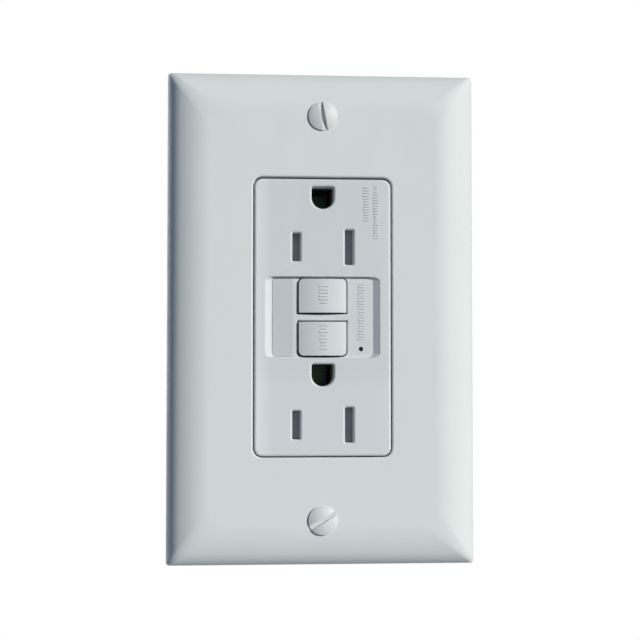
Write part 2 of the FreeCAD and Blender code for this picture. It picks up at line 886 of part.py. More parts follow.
def mounting_strap():
    body = new_body("strap_body")
    pad(body, "XZ_Plane", [strap_outline()], face_back, 0)
    holes = [rectangle(-7.3, 7.3, -10.1, 10.1), (s.lamp_across, s.lamp_height, 1.7)]
    for blades in RECEPTACLES.values():
        ground = ground_of(blades)
        holes.append(rectangle(-2.9, 2.9, ground - 2.9, ground + 2.9))
        for side in (-1, 1):
            middle = s.blade_offset * side
            holes.append(rectangle(middle - 1.9, middle + 1.9, blades - 4.6, blades + 4.6))
        for side in (-1, 1):
            holes.append((side * 4.1, ground - 3.5, 0.8))
    for sign in (-1, 1):
        half_length = s.box_slot_length / 2
        half_width = s.box_slot_width / 2
        centre = s.box_screw_spacing / 2 * sign
        holes.append(rounded(-half_length, half_length, centre - half_width, centre + half_width,
                             half_width - 0.01))
        holes.append((0, s.plate_screw_spacing / 2 * sign, s.plate_screw_radius + 0.05))
    pocket(body, "XZ_Plane", holes, face_back, 0)
    inner, outer = s.ground_tab_inner, s.ground_screw_across * 2 - s.ground_tab_inner
    tab_top = -flange_half_height - 0.2
    foot_low = ground_tab_low - 2.8
    pad(body, "XZ_Plane", [rectangle(inner, outer, foot_low, tab_top)], 0, 0.4)
    pad(body, "XZ_Plane", [rectangle(inner, outer, ground_tab_low, tab_top)], 0.4,
        s.ground_screw_depth + s.ground_tab_end)
    hole = (s.ground_screw_across, s.ground_screw_depth, s.terminal_shank_radius + seat_gap)
    pocket(body, "XY_Plane", [hole], foot_low, -flange_half_height)
    return node(body, "mounting_strap")


def ground_screw():
    place = (s.ground_screw_across, s.ground_screw_depth)
    low = ground_tab_low - s.terminal_head_height
    reach = s.terminal_head_radius + 1
    half = s.driver_slot_width / 2
    head = cylinder("ground_head", "z", place, s.terminal_head_radius, low, ground_tab_low)
    shank = cylinder("ground_shank", "z", place, s.terminal_shank_radius, ground_tab_low - 0.1,
                     -flange_half_height)
    slot = box("ground_slot", (place[0] - reach, place[0] + reach), (place[1] - half, place[1] + half),
               (low - 0.1, low + s.driver_slot_depth))
    return node(cut("ground", join("ground_blank", [head, shank]), [slot]), "ground_screw")


def mounting_screws():
    screws = []
    for sign in (-1, 1):
        body = new_body("box_screw")
        radius = s.box_head_radius
        top = face_back - s.box_head_height
        revolve(body, "XY_Plane", [[
            (0, top),
            (radius - 0.6, top, 0.6),
            (radius, top + 0.6),
            (radius, face_back),
            (s.box_neck_radius, face_back),
            (s.box_neck_radius, s.retainer_thickness),
            (s.box_thread_radius, s.retainer_thickness),
            (s.box_thread_radius, s.box_screw_reach),
            (0, s.box_screw_reach),
        ]], "V_Axis")
        slot = rectangle(-radius - 1, radius + 1, -s.driver_slot_width / 2, s.driver_slot_width / 2)
        pocket(body, "XZ_Plane", [slot], top, top + s.driver_slot_depth)
        bind(body, ".Placement.Base.z", s.box_screw_spacing / 2 * sign)
        screws.append(body)
    return node(group("box_screws", screws), "mounting_screws")


def screw_retainers():
    pieces = []
    for sign in (-1, 1):
        body = new_body("retainer")
        centre = s.box_screw_spacing / 2 * sign
        half = s.retainer_half
        outline = rectangle(-half, half, centre - half, centre + half)
        pad(body, "XZ_Plane", [outline, (0, centre, s.box_neck_radius + 0.05)], 0, s.retainer_thickness)
        pieces.append(body)
    return node(group("retainers", pieces), "screw_retainers")


def ground_contact(which):
    """A U-shaped base riveted to the strap, with two fingers that grip the ground pin."""
    middle = ground_of(RECEPTACLES[which])
    body = new_body(f"{which}_ground_body")
    thick = s.contact_thickness
    base = [(-5.0, middle - 4.4), (5.0, middle - 4.4), (5.0, middle + 2.5), (2.3, middle + 2.5),
            (2.3, middle - 2.4), (-2.3, middle - 2.4), (-2.3, middle + 2.5), (-5.0, middle + 2.5)]
    rivets = [(side * 4.1, middle - 3.5, 0.8) for side in (-1, 1)]
    pad(body, "XZ_Plane", [base] + rivets, 0, thick)
    fingers = [rectangle(2.3, 2.3 + thick, middle - 2.3, middle + 2.3),
               rectangle(-2.3 - thick, -2.3, middle - 2.3, middle + 2.3)]
    pad(body, "XZ_Plane", fingers, thick, 9.6)
    return node(body, f"{which}_ground_contact")


def ground_rivets():
    pieces = []
    for blades in RECEPTACLES.values():
        for side in (-1, 1):
            body = new_body("rivet")
            thick = s.contact_thickness
            revolve(body, "XY_Plane", [[
                (0, face_back - 0.6), (1.3, face_back - 0.6), (1.3, face_back), (0.75, face_back),
                (0.75, thick), (1.15, thick), (1.15, thick + 0.5), (0, thick + 0.5),
            ]], "V_Axis")
            bind(body, ".Placement.Base.x", side * 4.1)
            bind(body, ".Placement.Base.z", ground_of(blades) - 3.5)
            pieces.append(body)
    return node(group("rivets", pieces), "ground_rivets")


# ---------------------------------------------------------------- middle housing and contacts

def middle_housing():
    body = new_body("middle_body")
    half_width = s.middle_half_width
    half_height = s.middle_half_height
    wall = s.middle_wall
    back = s.middle_depth
    pad(body, "XZ_Plane", [rectangle(-half_width, half_width, -half_height, half_height)], 0, back)
    wells = [rectangle(-7.3, 7.3, sign * 5.3 - 4.8, sign * 5.3 + 4.8) for sign in (-1, 1)]
    pocket(body, "XZ_Plane", wells, 0, well_floor)
    stems = [(0, s.button_middle, s.stem_radius + s.clearance),
             (0, -s.button_middle, s.reset_pin_radius + s.clearance)]
    pocket(body, "XZ_Plane", stems, well_floor, back)
    pocket(body, "XZ_Plane", [rectangle(-7.0, 7.0, -10.1, 10.1)], spring_floor, back)
    notch_front = terminal_leg_back - s.contact_thickness - 1.8
    for side in (-1, 1):
        pocket(body, "XZ_Plane", [upright(side, 8.4, 14.2, lower_blades - 4.8, upper_blades + 4.8)], wall, back)
        for blades in RECEPTACLES.values():
            pocket(body, "XZ_Plane", [upright(side, 3.2, 9.0, blades - 4.8, blades + 4.8)], wall, back)
            pocket(body, "XZ_Plane", [upright(side, s.blade_offset - 1.5, s.blade_offset + 1.5,
                                              blades - 4.5, blades + 4.5)], 0, wall)
        for sign in (-1, 1):
            low, high = span(sign, s.terminal_height - 6.4, s.terminal_height + 4.8)
            pocket(body, "XZ_Plane", [upright(side, 15.0, half_width + 1, low, high)],
                   s.terminal_depth - 5.2, back)
            low, high = span(sign, s.terminal_height - 6.3, s.terminal_height - 4.1)
            pocket(body, "XZ_Plane", [upright(side, 13.8, 15.4, low, high)], notch_front, back)
    grounds = [rectangle(-5.3, 5.3, ground_of(blades) - 4.7, ground_of(blades) + 2.75)
               for blades in RECEPTACLES.values()]
    pocket(body, "XZ_Plane", grounds, 0, back)
    pocket(body, "XZ_Plane", [(s.lamp_across, s.lamp_height, 1.6)], 0, 1.6)
    holes = [(s.assembly_across * across, s.assembly_height * up, s.assembly_radius + s.clearance)
             for across, up in CORNERS]
    pocket(body, "XZ_Plane", holes, 0, back)
    return node(body, "middle_housing")


def terminal_plate(body, side, sign):
    """The upright plate behind one terminal screw, with the screw's hole."""
    ends = span(side, terminal_plate_inner, terminal_plate_outer)
    low, high = span(sign, s.terminal_height - 6.0, s.terminal_height + 4.2)
    pad(body, "XZ_Plane", [rectangle(ends[0], ends[1], low, high)], s.terminal_depth - s.terminal_half,
        s.terminal_depth + s.terminal_half)
    hole = (s.terminal_depth, s.terminal_height * sign, s.terminal_shank_radius + 0.1)
    pocket(body, "YZ_Plane", [hole], ends[0], ends[1])


def load_contact(side, name):
    """Fingers for both receptacles, one long bus strip, the fixed contact and the load terminal."""
    body = new_body(f"{name}_body")
    thick = s.contact_thickness
    gap = s.contact_gap / 2
    reach = s.finger_half_height
    strip = upright(side, bus_inner, bus_outer, lower_blades - reach, upper_blades + reach)
    pad(body, "XZ_Plane", [strip], bus_front, bus_back)
    for blades in RECEPTACLES.values():
        inner = s.blade_offset - gap - thick
        pad(body, "XZ_Plane", [upright(side, inner, bus_outer, blades - reach, blades + reach)],
            bus_back - thick, bus_back)
        fingers = [upright(side, near, near + thick, blades - reach, blades + reach)
                   for near in (s.blade_offset + gap, inner)]
        pad(body, "XZ_Plane", fingers, finger_front, bus_back - thick)
    pad(body, "XZ_Plane", [upright(side, 9.8, 12.6, -10.0, -7.2)], bus_back - thick, bus_back)
    pad(body, "XZ_Plane", [(s.load_point_across * side, s.load_point_height, 1.2)],
        bus_back, bus_back + s.point_height)
    leg_high = 6.0 - s.terminal_height
    pad(body, "XZ_Plane", [upright(side, bus_inner, terminal_plate_outer, leg_high - 1.6, leg_high)],
        bus_back - thick, bus_back)
    terminal_plate(body, side, -1)
    return node(body, name)


def line_contacts():
    """Two arms that stand on the board and carry the line-side fixed contacts."""
    pieces = []
    for side in (-1, 1):
        body = new_body("line_arm")
        pad(body, "XZ_Plane", [upright(side, 9.4, 11.4, -3.6, 2.4)], bus_back - s.contact_thickness, bus_back)
        pad(body, "XZ_Plane", [upright(side, 9.4, 11.4, 1.6, 2.4)], bus_back, s.board_front)
        pad(body, "XZ_Plane", [(s.line_point_across * side, s.line_point_height, 0.95)],
            bus_back, bus_back + s.point_height)
        pieces.append(body)
    return node(group("line_arms", pieces), "line_contacts")


def line_terminal(side, name):
    """A line-side terminal: its plate, a leg over the housing's edge and a foot on the board."""
    body = new_body(f"{name}_body")
    low = s.terminal_height - 6.0
    high = low + 1.6
    terminal_plate(body, side, 1)
    pad(body, "XZ_Plane", [upright(side, 14.2, terminal_plate_outer, low, high)],
        terminal_leg_back - s.contact_thickness, terminal_leg_back)
    pad(body, "XZ_Plane", [upright(side, 14.2, 15.2, low, high)], terminal_leg_back, s.board_front)
    return node(body, name)


def terminal_screws(side, name):
    """Slotted binding screws, one for the line side and one for the load side."""
    pieces = []
    for sign in (-1, 1):
        body = new_body(f"{name}_screw")
        head = terminal_plate_outer
        radius = s.terminal_head_radius
        revolve(body, "XY_Plane", [[
            (head - s.terminal_reach, 0),
            (head + s.terminal_head_height, 0),
            (head + s.terminal_head_height, radius - 0.7, 0.7),
            (head + s.terminal_head_height - 0.7, radius),
            (head, radius),
            (head, s.terminal_shank_radius),
            (head - s.terminal_reach, s.terminal_shank_radius),
        ]], "H_Axis")
        top = head + s.terminal_head_height
        half = s.driver_slot_width / 2
        pocket(body, "YZ_Plane", [rectangle(-half, half, -radius - 1, radius + 1)], top - 1.2, top)
        body.Placement = Placement(Vector(), Rotation(Vector(0, 0, 1), 0 if side > 0 else 180))
        bind(body, ".Placement.Base.y", s.terminal_depth)
        bind(body, ".Placement.Base.z", s.terminal_height * sign)
        pieces.append(body)
    return node(group(name, pieces), name)


def clamp_plates():
    """The nuts of the terminal screws: a wire goes between each one and its terminal."""
    pieces = []
    for side in (-1, 1):
        for sign in (-1, 1):
            body = new_body("clamp")
            inner = terminal_plate_outer - s.terminal_reach + 0.3
            ends = span(side, inner, inner + s.clamp_thickness)
            centre = s.terminal_height * sign
            pad(body, "XZ_Plane", [rectangle(ends[0], ends[1], centre - 4.0, centre + 4.0)],
                s.terminal_depth - s.terminal_half, s.terminal_depth + s.terminal_half - 0.2)
            hole = (s.terminal_depth, centre, s.terminal_shank_radius + seat_gap)
            pocket(body, "YZ_Plane", [hole], ends[0], ends[1])
            pieces.append(body)
    return node(group("clamps", pieces), "clamp_plates")


# ---------------------------------------------------------------- board and electronics

def circuit_board():
    """A board notched for the terminals, with one window for the contact carrier."""
    body = new_body("board_body")
    half_width = as_size(15.8)
    wide = s.middle_half_width - 0.5
    half_height = s.middle_half_height - 0.8
    notch = s.terminal_height + 5.4
    outline = [
        (-wide, -half_height), (wide, -half_height), (wide, -notch), (half_width, -notch),
        (half_width, notch), (wide, notch), (wide, half_height), (-wide, half_height),
        (-wide, notch), (-half_width, notch), (-half_width, -notch), (-wide, -notch),
    ]
    pad(body, "XZ_Plane", [outline], s.board_front, board_back)
    beside = s.carrier_half_width + 0.4
    holes = [rectangle(-beside, beside, -s.carrier_low - 0.6, 0.6 - s.carrier_high)]
    holes += [(s.assembly_across * across, s.assembly_height * up, s.assembly_radius + s.clearance)
              for across, up in CORNERS]
    pocket(body, "XZ_Plane", holes, s.board_front, board_back)
    return node(body, "circuit_board")


def ring(name, height, radii, low, high):
    outer, inner = radii
    outside = cylinder(f"{name}_outer", "y", (0, height), outer, low, high)
    inside = cylinder(f"{name}_inner", "y", (0, height), inner, as_size(low) - 1, as_size(high) + 1)
    return cut(name, outside, [inside])


CORE_LEVELS = {"sense": 1.0, "neutral": 5.2}


def core(which):
    low = board_back + CORE_LEVELS[which] + s.winding_thickness
    ring_core = ring(f"{which}_ring", s.coil_centre_height, (s.core_outer_radius, s.core_inner_radius),
                     low, low + s.core_thickness)
    return node(ring_core, f"{which}_core")


def winding(which):
    """A sleeve of wire round the whole core, with the core's space inside it."""
    thick = s.winding_thickness
    low = board_back + CORE_LEVELS[which]
    high = low + s.core_thickness + thick * 2
    outside = ring(f"{which}_sleeve", s.coil_centre_height,
                   (s.core_outer_radius + thick, s.core_inner_radius - thick), low, high)
    space = ring(f"{which}_space", s.coil_centre_height, (s.core_outer_radius, s.core_inner_radius),
                 low + thick, high - thick)
    return node(cut(f"{which}_wire", outside, [space]), f"{which}_winding")


def coil_housing():
    """A cup over both coils, with a post hole in its end for the line conductors."""
    radius = s.core_outer_radius + s.winding_thickness + 0.3
    height = s.coil_centre_height
    end = board_back + 10.4
    outside = cylinder("cup_outside", "y", (0, height), radius + 1.0, board_back, end)
    inside = cylinder("cup_inside", "y", (0, height), radius, board_back - 1, end - 1.0)
    hole = cylinder("cup_hole", "y", (0, height), 2.6, board_back, end + 1)
    shelf = ring("cup_shelf", height, (radius, s.core_inner_radius), board_back + 4.95, board_back + 5.15)
    foot = ring("cup_foot", height, (radius, s.core_inner_radius), board_back, board_back + 0.95)
    shell = cut("cup", outside, [inside, hole])
    return node(join("cup_whole", [shell, shelf, foot]), "coil_housing")


def coil_conductors():
    """Two strips that take the line current through both coils."""
    strips = [
        box(f"conductor_{side}", span(side, 0.5, 1.7), (board_back, rear_floor - 0.6),
            (s.coil_centre_height - 1.2, s.coil_centre_height + 1.2))
        for side in (-1, 1)
    ]
    return node(group("conductors", strips), "coil_conductors")


def solenoid_bobbin():
    low, high = s.solenoid_low, s.solenoid_high
    half = s.bobbin_half
    place = (0, solenoid_axis)
    tube = cylinder("bobbin_tube", "z", place, s.plunger_radius + s.bobbin_end, low, high)
    levels = (solenoid_axis - half, solenoid_axis + half - 0.2)
    ends = [box("bobbin_end_low", (-half, half), levels, (low, low + s.bobbin_end)),
            box("bobbin_end_high", (-half, half), levels, (high - s.bobbin_end, high))]
    bore = cylinder("bobbin_bore", "z", place, s.plunger_radius + 0.2, low - 1, high + 1)
    return node(cut("bobbin", join("bobbin_blank", [tube] + ends), [bore]), "solenoid_bobbin")


def solenoid_winding():
    place = (0, solenoid_axis)
    wall = s.bobbin_end + seat_gap
    low = s.solenoid_low + wall
    high = s.solenoid_high - wall
    outside = cylinder("magnet_wire_outside", "z", place, s.winding_radius, low, high)
    inside = cylinder("magnet_wire_inside", "z", place, s.plunger_radius + wall, low - 1, high + 1)
    return node(cut("magnet_wire", outside, [inside]), "solenoid_winding")


def solenoid_frame():
    """A steel bracket round the bobbin that stands on the board."""
    half = s.frame_half
    low = s.solenoid_low - 0.9
    high = s.solenoid_high + 0.9
    base = box("frame_base", (-half, half), (board_back, solenoid_axis - s.bobbin_half - 0.1), (low, high))
    levels = (board_back, solenoid_axis + s.bobbin_half - 0.2)
    lips = [box("frame_low", (-half, half), levels, (low, s.solenoid_low - seat_gap)),
            box("frame_high", (-half, half), levels, (s.solenoid_high + seat_gap, high))]
    bore = cylinder("frame_bore", "z", (0, solenoid_axis), s.plunger_radius + s.clearance, low - 1, low + 2)
    return node(cut("frame", join("frame_blank", [base] + lips), [bore]), "solenoid_frame")


def plunger():
    rod = cylinder("plunger_rod", "z", (0, solenoid_axis), s.plunger_radius, -s.plunger_front, s.plunger_back)
    return node(rod, "plunger")


def plunger_spring():
    body = coil_spring("plunger_coil", "XZ_Plane", "V_Axis", (0, -solenoid_axis), s.plunger_spring_radius,
                       s.plunger_back + seat_gap, s.solenoid_high, 4)
    return node(body, "plunger_spring")


def contact_carrier():
    """Holds both bridge contacts; its hub guides the latch plate across the reset pin."""
    body = new_body("carrier_body")
    low, high = -s.carrier_low, -s.carrier_high
    half = s.carrier_half_width
    hub = s.hub_half_width
    back = carrier_rest + s.carrier_thickness
    pad(body, "XZ_Plane", [rectangle(-half, half, low, high)], carrier_rest, back)
    pad(body, "XZ_Plane", [rectangle(-hub, hub, low, high)], back, hub_back)
    channel = s.latch_half_width + s.clearance
    guide = rectangle(-channel, channel, latch_front - s.latch_gap, latch_back + s.latch_gap)
    pocket(body, "XY_Plane", [guide], low, high)
    room = s.plunger_radius + s.clearance
    entry = rectangle(-room, room, solenoid_axis - room - s.carrier_travel, solenoid_axis + room)
    pocket(body, "XY_Plane", [entry], high - s.plunger_travel - s.clearance, high)
    pocket(body, "XZ_Plane", [(0, -s.button_middle, s.reset_pin_radius + s.clearance)], carrier_rest, hub_back)
    return node(body, "contact_carrier")


def latch_slide():
    """A flat slide; the reset pin passes its slot, which the plunger moves across the pin."""
    body = new_body("latch_body")
    half_width = s.latch_half_width
    low = s.plunger_travel - s.carrier_low - 0.4
    pad(body, "XZ_Plane", [rectangle(-half_width, half_width, low, -s.carrier_high)], latch_front, latch_back)
    pin = -s.button_middle
    half = s.reset_pin_radius + 0.25
    slot = rectangle(-half, half, pin - half, pin + half + s.plunger_travel)
    pocket(body, "XZ_Plane", [slot], latch_front, latch_back)
    return node(body, "latch_slide")


def contact_bridges():
    pieces = []
    for side in (-1, 1):
        body = new_body("bridge")
        front = carrier_rest - s.bridge_thickness
        pad(body, "XZ_Plane", [upright(side, 9.4, 12.2, -9.8, -1.4)], front, carrier_rest)
        discs = [(s.load_point_across * side, s.load_point_height, 1.1),
                 (s.line_point_across * side, s.line_point_height, 0.9)]
        pad(body, "XZ_Plane", discs, bus_back + s.point_height + seat_gap, front)
        pieces.append(body)
    return node(group("bridges", pieces), "contact_bridges")


def break_springs():
    pieces = [
        coil_spring(f"break_coil_{side}", "XY_Plane", "V_Axis", (side * 4.4, -s.button_middle),
                    s.break_spring_radius, spring_floor, carrier_rest, 4)
        for side in (-1, 1)
    ]
    return node(group("break_coils", pieces), "break_springs")


def test_contact():
    """A leaf on the board that the test button's stem reaches at the end of its travel."""
    body = new_body("test_leaf")
    front = stem_back + s.button_travel + 0.1
    back = front + 0.5
    end = s.button_middle + 3.8
    pad(body, "XZ_Plane", [rectangle(-2.0, 2.0, s.button_middle - 1.2, end)], front, back)
    pad(body, "XZ_Plane", [rectangle(-2.0, 2.0, end - 0.5, end)], back, s.board_front)
    return node(body, "test_contact")


def varistor():
    disc = cylinder("varistor_disc", "x", (board_back + 5.8, -24.5), 5.0, -9.6, -5.8)
    legs = [box(f"varistor_leg_{sign}", (-8.0, -7.4), (board_back, board_back + 3.0),
                (-24.5 + sign * 2.5 - 0.3, -24.5 + sign * 2.5 + 0.3)) for sign in (-1, 1)]
    return node(join("varistor_whole", [disc] + legs), "varistor")


def capacitor():
    top = board_back + 9.0
    can = cylinder("capacitor_can", "y", (8.2, -25.6), 3.6, board_back, top)
    score = box("capacitor_score", (4.5, 11.9), (top - 0.2, top + 0.1), (-25.8, -25.4))
    return node(cut("capacitor_whole", can, [score]), "capacitor")


def row_parts(name, places, radius, length, axis):
    """Round parts lying on the board, each held by two flat leads."""
    solids = []
    lead = 0.3
    for i, (across, up) in enumerate(places):
        middle = board_back + radius + lead
        place = (middle, up) if axis == "x" else (across, middle)
        centre = across if axis == "x" else up
        reach = length / 2 + 1.2
        shell = cylinder(f"{name}_{i}", axis, place, radius, centre - length / 2, centre + length / 2)
        parts = [shell]
        for sign in (-1, 1):
            along = sorted((centre + sign * (length / 2 - 0.5), centre + sign * reach))
            foot = sorted((centre + sign * (reach - lead * 2), centre + sign * reach))
            beside = (up - lead, up + lead) if axis == "x" else (across - lead, across + lead)
            arm = [along, (middle - lead, middle + lead), beside]
            leg = [foot, (board_back, middle - lead), beside]
            if axis == "z":
                arm.reverse()
                leg.reverse()
            parts += [box(f"{name}_arm", *arm), box(f"{name}_leg", *leg)]
        solids.append(join(f"{name}_part_{i}", parts))
    return node(group(f"{name}_row", solids), name)


def controller_chip():
    chip = box("chip_case", (-4.4, 1.0), (board_back + 0.2, board_back + 2.0), (-16.0, -12.2))
    legs = []
    for i in range(4):
        left = -4.0 + i * 1.27
        for low, high in ((-16.9, -15.9), (-12.3, -11.3)):
            legs.append(box("chip_leg", (left, left + 0.5), (board_back, board_back + 0.4), (low, high)))
    return node(join("chip", [chip] + legs), "controller_chip")


def thyristor():
    case = cylinder("thyristor_case", "y", (-13.0, -26.5), 2.4, board_back + 1.5, board_back + 6.5)
    flat = box("thyristor_flat", (-16, -10), (board_back, board_back + 8), (-25.2, -22))
    legs = [box("thyristor_leg", (-13.0 + step - 0.25, -13.0 + step + 0.25), (board_back, board_back + 2.0),
                (-27.2, -26.7)) for step in (-1.27, 0, 1.27)]
    return node(join("thyristor_whole", [cut("thyristor_body", case, [flat])] + legs), "thyristor")


# ---------------------------------------------------------------- rear housing

def rear_housing():
    """An open box with posts for the long screws, wire tunnels and side windows for the terminals."""
    body = new_body("rear_body")
    outer = rounded(-flange_half_width, flange_half_width, -flange_half_height, flange_half_height,
                    s.flange_corner)
    inner = rectangle(-rear_inner_width, rear_inner_width, -rear_inner_height, rear_inner_height)
    blank = pad(body, "XZ_Plane", [outer], 0, rear_back)
    rim = edges_at(blank, lambda point: abs(point.y - rear_back.value) < 0.01)
    dress(body, "Fillet", blank, rim, "Radius", s.rear_back_round)
    pocket(body, "XZ_Plane", [inner], 0, rear_floor)
    posts = [(s.assembly_across * across, s.assembly_height * up, 2.4) for across, up in CORNERS]
    pad(body, "XZ_Plane", posts, board_back, rear_floor)
    tunnels = []
    wires = []
    half = s.wire_hole / 2
    for side in (-1, 1):
        for sign in (-1, 1):
            low, high = span(sign, s.terminal_height - 4.6, s.terminal_height + 4.6)
            tunnels.append(upright(side, wire_across - 2.1, rear_inner_width, low, high))
            for step in (-1, 1):
                up = s.terminal_height * sign + s.wire_step * step
                wires.append(upright(side, wire_across - half, wire_across + half, up - half, up + half))
    pad(body, "XZ_Plane", tunnels, s.board_front, rear_floor)
    for sign in (-1, 1):
        low, high = span(sign, s.terminal_height - 6.4, s.terminal_height + 4.8)
        window = rectangle(s.terminal_depth - 4.8, s.terminal_depth + 4.6, low, high)
        pocket(body, "YZ_Plane", [window], -flange_half_width, flange_half_width)
    pocket(body, "XZ_Plane", wires, s.board_front, rear_back)
    holes = [(s.assembly_across * across, s.assembly_height * up, s.assembly_radius + 0.1)
             for across, up in CORNERS]
    pocket(body, "XZ_Plane", holes, board_back, rear_back)
    recess = s.assembly_head_radius + 0.15
    heads = [(s.assembly_across * across, s.assembly_height * up, recess) for across, up in CORNERS]
    pocket(body, "XZ_Plane", heads, rear_back - s.assembly_head_recess, rear_back)
    return node(body, "rear_housing")


def assembly_screws():
    pieces = []
    for across, up in CORNERS:
        body = new_body("long_screw")
        seat = rear_back - s.assembly_head_recess
        end = seat + s.assembly_head_height
        revolve(body, "XY_Plane", [[
            (0, -s.assembly_reach), (s.assembly_radius, -s.assembly_reach), (s.assembly_radius, seat),
            (s.assembly_head_radius, seat), (s.assembly_head_radius, end), (0, end),
        ]], "V_Axis")
        for half_width, half_height in ((0.3, 1.2), (1.2, 0.3)):
            pocket(body, "XZ_Plane", [rectangle(-half_width, half_width, -half_height, half_height)],
                   end - 0.7, end)
        bind(body, ".Placement.Base.x", s.assembly_across * across)
        bind(body, ".Placement.Base.z", s.assembly_height * up)
        pieces.append(body)
    return node(group("long_screws", pieces), "assembly_screws")


# ---------------------------------------------------------------- the whole outlet

wall_plate()
plate_screws()
face_cover()
label_strip()
test_button()
reset_button()
reset_pin()
button_spring("reset", -1)
button_spring("test", 1)
light_pipe()
status_led()
for which in RECEPTACLES:
    shutter(which)
    shutter_spring(which)
    ground_contact(which)
mounting_strap()
ground_screw()
mounting_screws()
screw_retainers()
ground_rivets()
middle_housing()
for side, pole in ((-1, "hot"), (1, "neutral")):
    load_contact(side, f"load_{pole}_contact")
    line_terminal(side, f"line_{pole}_terminal")
    terminal_screws(side, f"{pole}_terminal_screws")
line_contacts()
clamp_plates()
circuit_board()
for which in CORE_LEVELS:
    core(which)
    winding(which)
coil_housing()
coil_conductors()
solenoid_bobbin()
solenoid_winding()
solenoid_frame()
plunger()
plunger_spring()
contact_carrier()
latch_slide()
contact_bridges()
break_springs()
test_contact()
varistor()
capacitor()
row_parts("diodes", [(-12.6, 4.4), (-12.6, 14.6), (12.6, 4.4), (12.6, 14.6)], 1.0, 4.0, "z")
row_parts("resistors", [(11.0, -14.2), (11.0, -17.4), (-11.0, -14.2), (-11.0, -17.4)], 0.9, 4.6, "x")
controller_chip()
thyristor()
rear_housing()
assembly_screws()

doc.recompute()
for thing in doc.Objects:
    if "Invalid" in thing.State or "Error" in thing.State:
        raise RuntimeError(f"{thing.Name} ({thing.Label}) failed: {thing.State}")
for thing in nodes:
    if thing.Shape.isNull() or not thing.Shape.isValid() or not thing.Shape.Solids:
        raise RuntimeError(f"{thing.Label} has no valid shape")

os.makedirs("parts", exist_ok=True)
for thing in nodes:
    thing.Shape.exportStep(f"parts/{thing.Label}.step")
print(f"{len(nodes)} sub-parts written")
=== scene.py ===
"""The looks of a ground-fault outlet with its wall plate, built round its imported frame."""
import json
import math

import bmesh
import bpy
from bpy.props import FloatProperty, FloatVectorProperty, IntProperty, PointerProperty
from mathutils import Matrix, Vector


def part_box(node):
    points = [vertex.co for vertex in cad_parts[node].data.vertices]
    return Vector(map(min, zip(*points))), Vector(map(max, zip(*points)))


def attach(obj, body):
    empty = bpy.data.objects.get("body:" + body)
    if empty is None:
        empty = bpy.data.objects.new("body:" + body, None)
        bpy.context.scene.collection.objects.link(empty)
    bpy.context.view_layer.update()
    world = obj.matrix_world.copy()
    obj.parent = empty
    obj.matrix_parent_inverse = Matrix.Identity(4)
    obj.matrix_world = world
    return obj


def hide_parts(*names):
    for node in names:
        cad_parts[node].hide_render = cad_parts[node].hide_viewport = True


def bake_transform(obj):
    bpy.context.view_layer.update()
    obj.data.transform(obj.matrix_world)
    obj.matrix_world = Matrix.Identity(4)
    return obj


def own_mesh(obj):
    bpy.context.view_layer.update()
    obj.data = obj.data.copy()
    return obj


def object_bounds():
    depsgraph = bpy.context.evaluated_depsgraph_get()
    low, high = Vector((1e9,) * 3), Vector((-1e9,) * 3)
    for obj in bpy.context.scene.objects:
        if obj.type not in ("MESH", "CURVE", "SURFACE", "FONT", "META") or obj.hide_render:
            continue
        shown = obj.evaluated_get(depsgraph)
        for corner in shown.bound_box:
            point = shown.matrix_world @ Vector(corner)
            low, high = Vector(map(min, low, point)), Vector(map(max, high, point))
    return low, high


bl_info = {
    "name": "Ground-fault outlet",
    "version": (1, 0, 0),
    "blender": (4, 5, 0),
    "location": "3D View > Sidebar > Outlet",
    "description": "Builds the finishes and fine pieces of an outlet round its frame",
    "category": "Object",
}

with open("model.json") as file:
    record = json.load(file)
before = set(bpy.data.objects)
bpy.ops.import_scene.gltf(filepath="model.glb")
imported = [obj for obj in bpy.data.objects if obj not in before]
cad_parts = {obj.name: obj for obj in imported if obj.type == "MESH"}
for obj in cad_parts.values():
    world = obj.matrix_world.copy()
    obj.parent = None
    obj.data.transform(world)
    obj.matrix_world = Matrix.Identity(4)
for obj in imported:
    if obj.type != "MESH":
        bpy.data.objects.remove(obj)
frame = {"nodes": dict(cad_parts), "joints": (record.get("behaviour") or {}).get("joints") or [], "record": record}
cad_low, cad_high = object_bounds()
MM = 0.001


# ---------------------------------------------------------------- settings

def size(name, description, default):
    return FloatProperty(name=name, description=description, default=default, unit="LENGTH", precision=5)


def colour(name, description, default):
    return FloatVectorProperty(name=name, description=description, default=default, size=3,
                               subtype="COLOR", min=0, max=1)


def direction(name, description, default):
    return FloatVectorProperty(name=name, description=description, default=default, size=3, subtype="XYZ")


def angle(name, description, degrees):
    return FloatProperty(name=name, description=description, default=math.radians(degrees), subtype="ANGLE")


def strength(name, description, default):
    return FloatProperty(name=name, description=description, default=default, min=0)


class FinishSettings(bpy.types.PropertyGroup):
    """Colours of the visible mouldings and metals."""
    plate: colour("Plate", "Colour of the wall plate", (0.715, 0.745, 0.715))
    face: colour("Face", "Colour of the outlet's face", (0.645, 0.665, 0.665))
    button: colour("Buttons", "Colour of the test and reset buttons", (0.66, 0.685, 0.68))
    strip: colour("Strip", "Colour of the bare strip beside the buttons", (0.54, 0.575, 0.59))
    housing: colour("Housing", "Colour of the rear housing", (0.055, 0.060, 0.066))
    brass: colour("Brass", "Colour of contacts and hot-side screws", (0.72, 0.50, 0.20))
    steel: colour("Steel", "Colour of the plated strap and screws", (0.60, 0.60, 0.57))


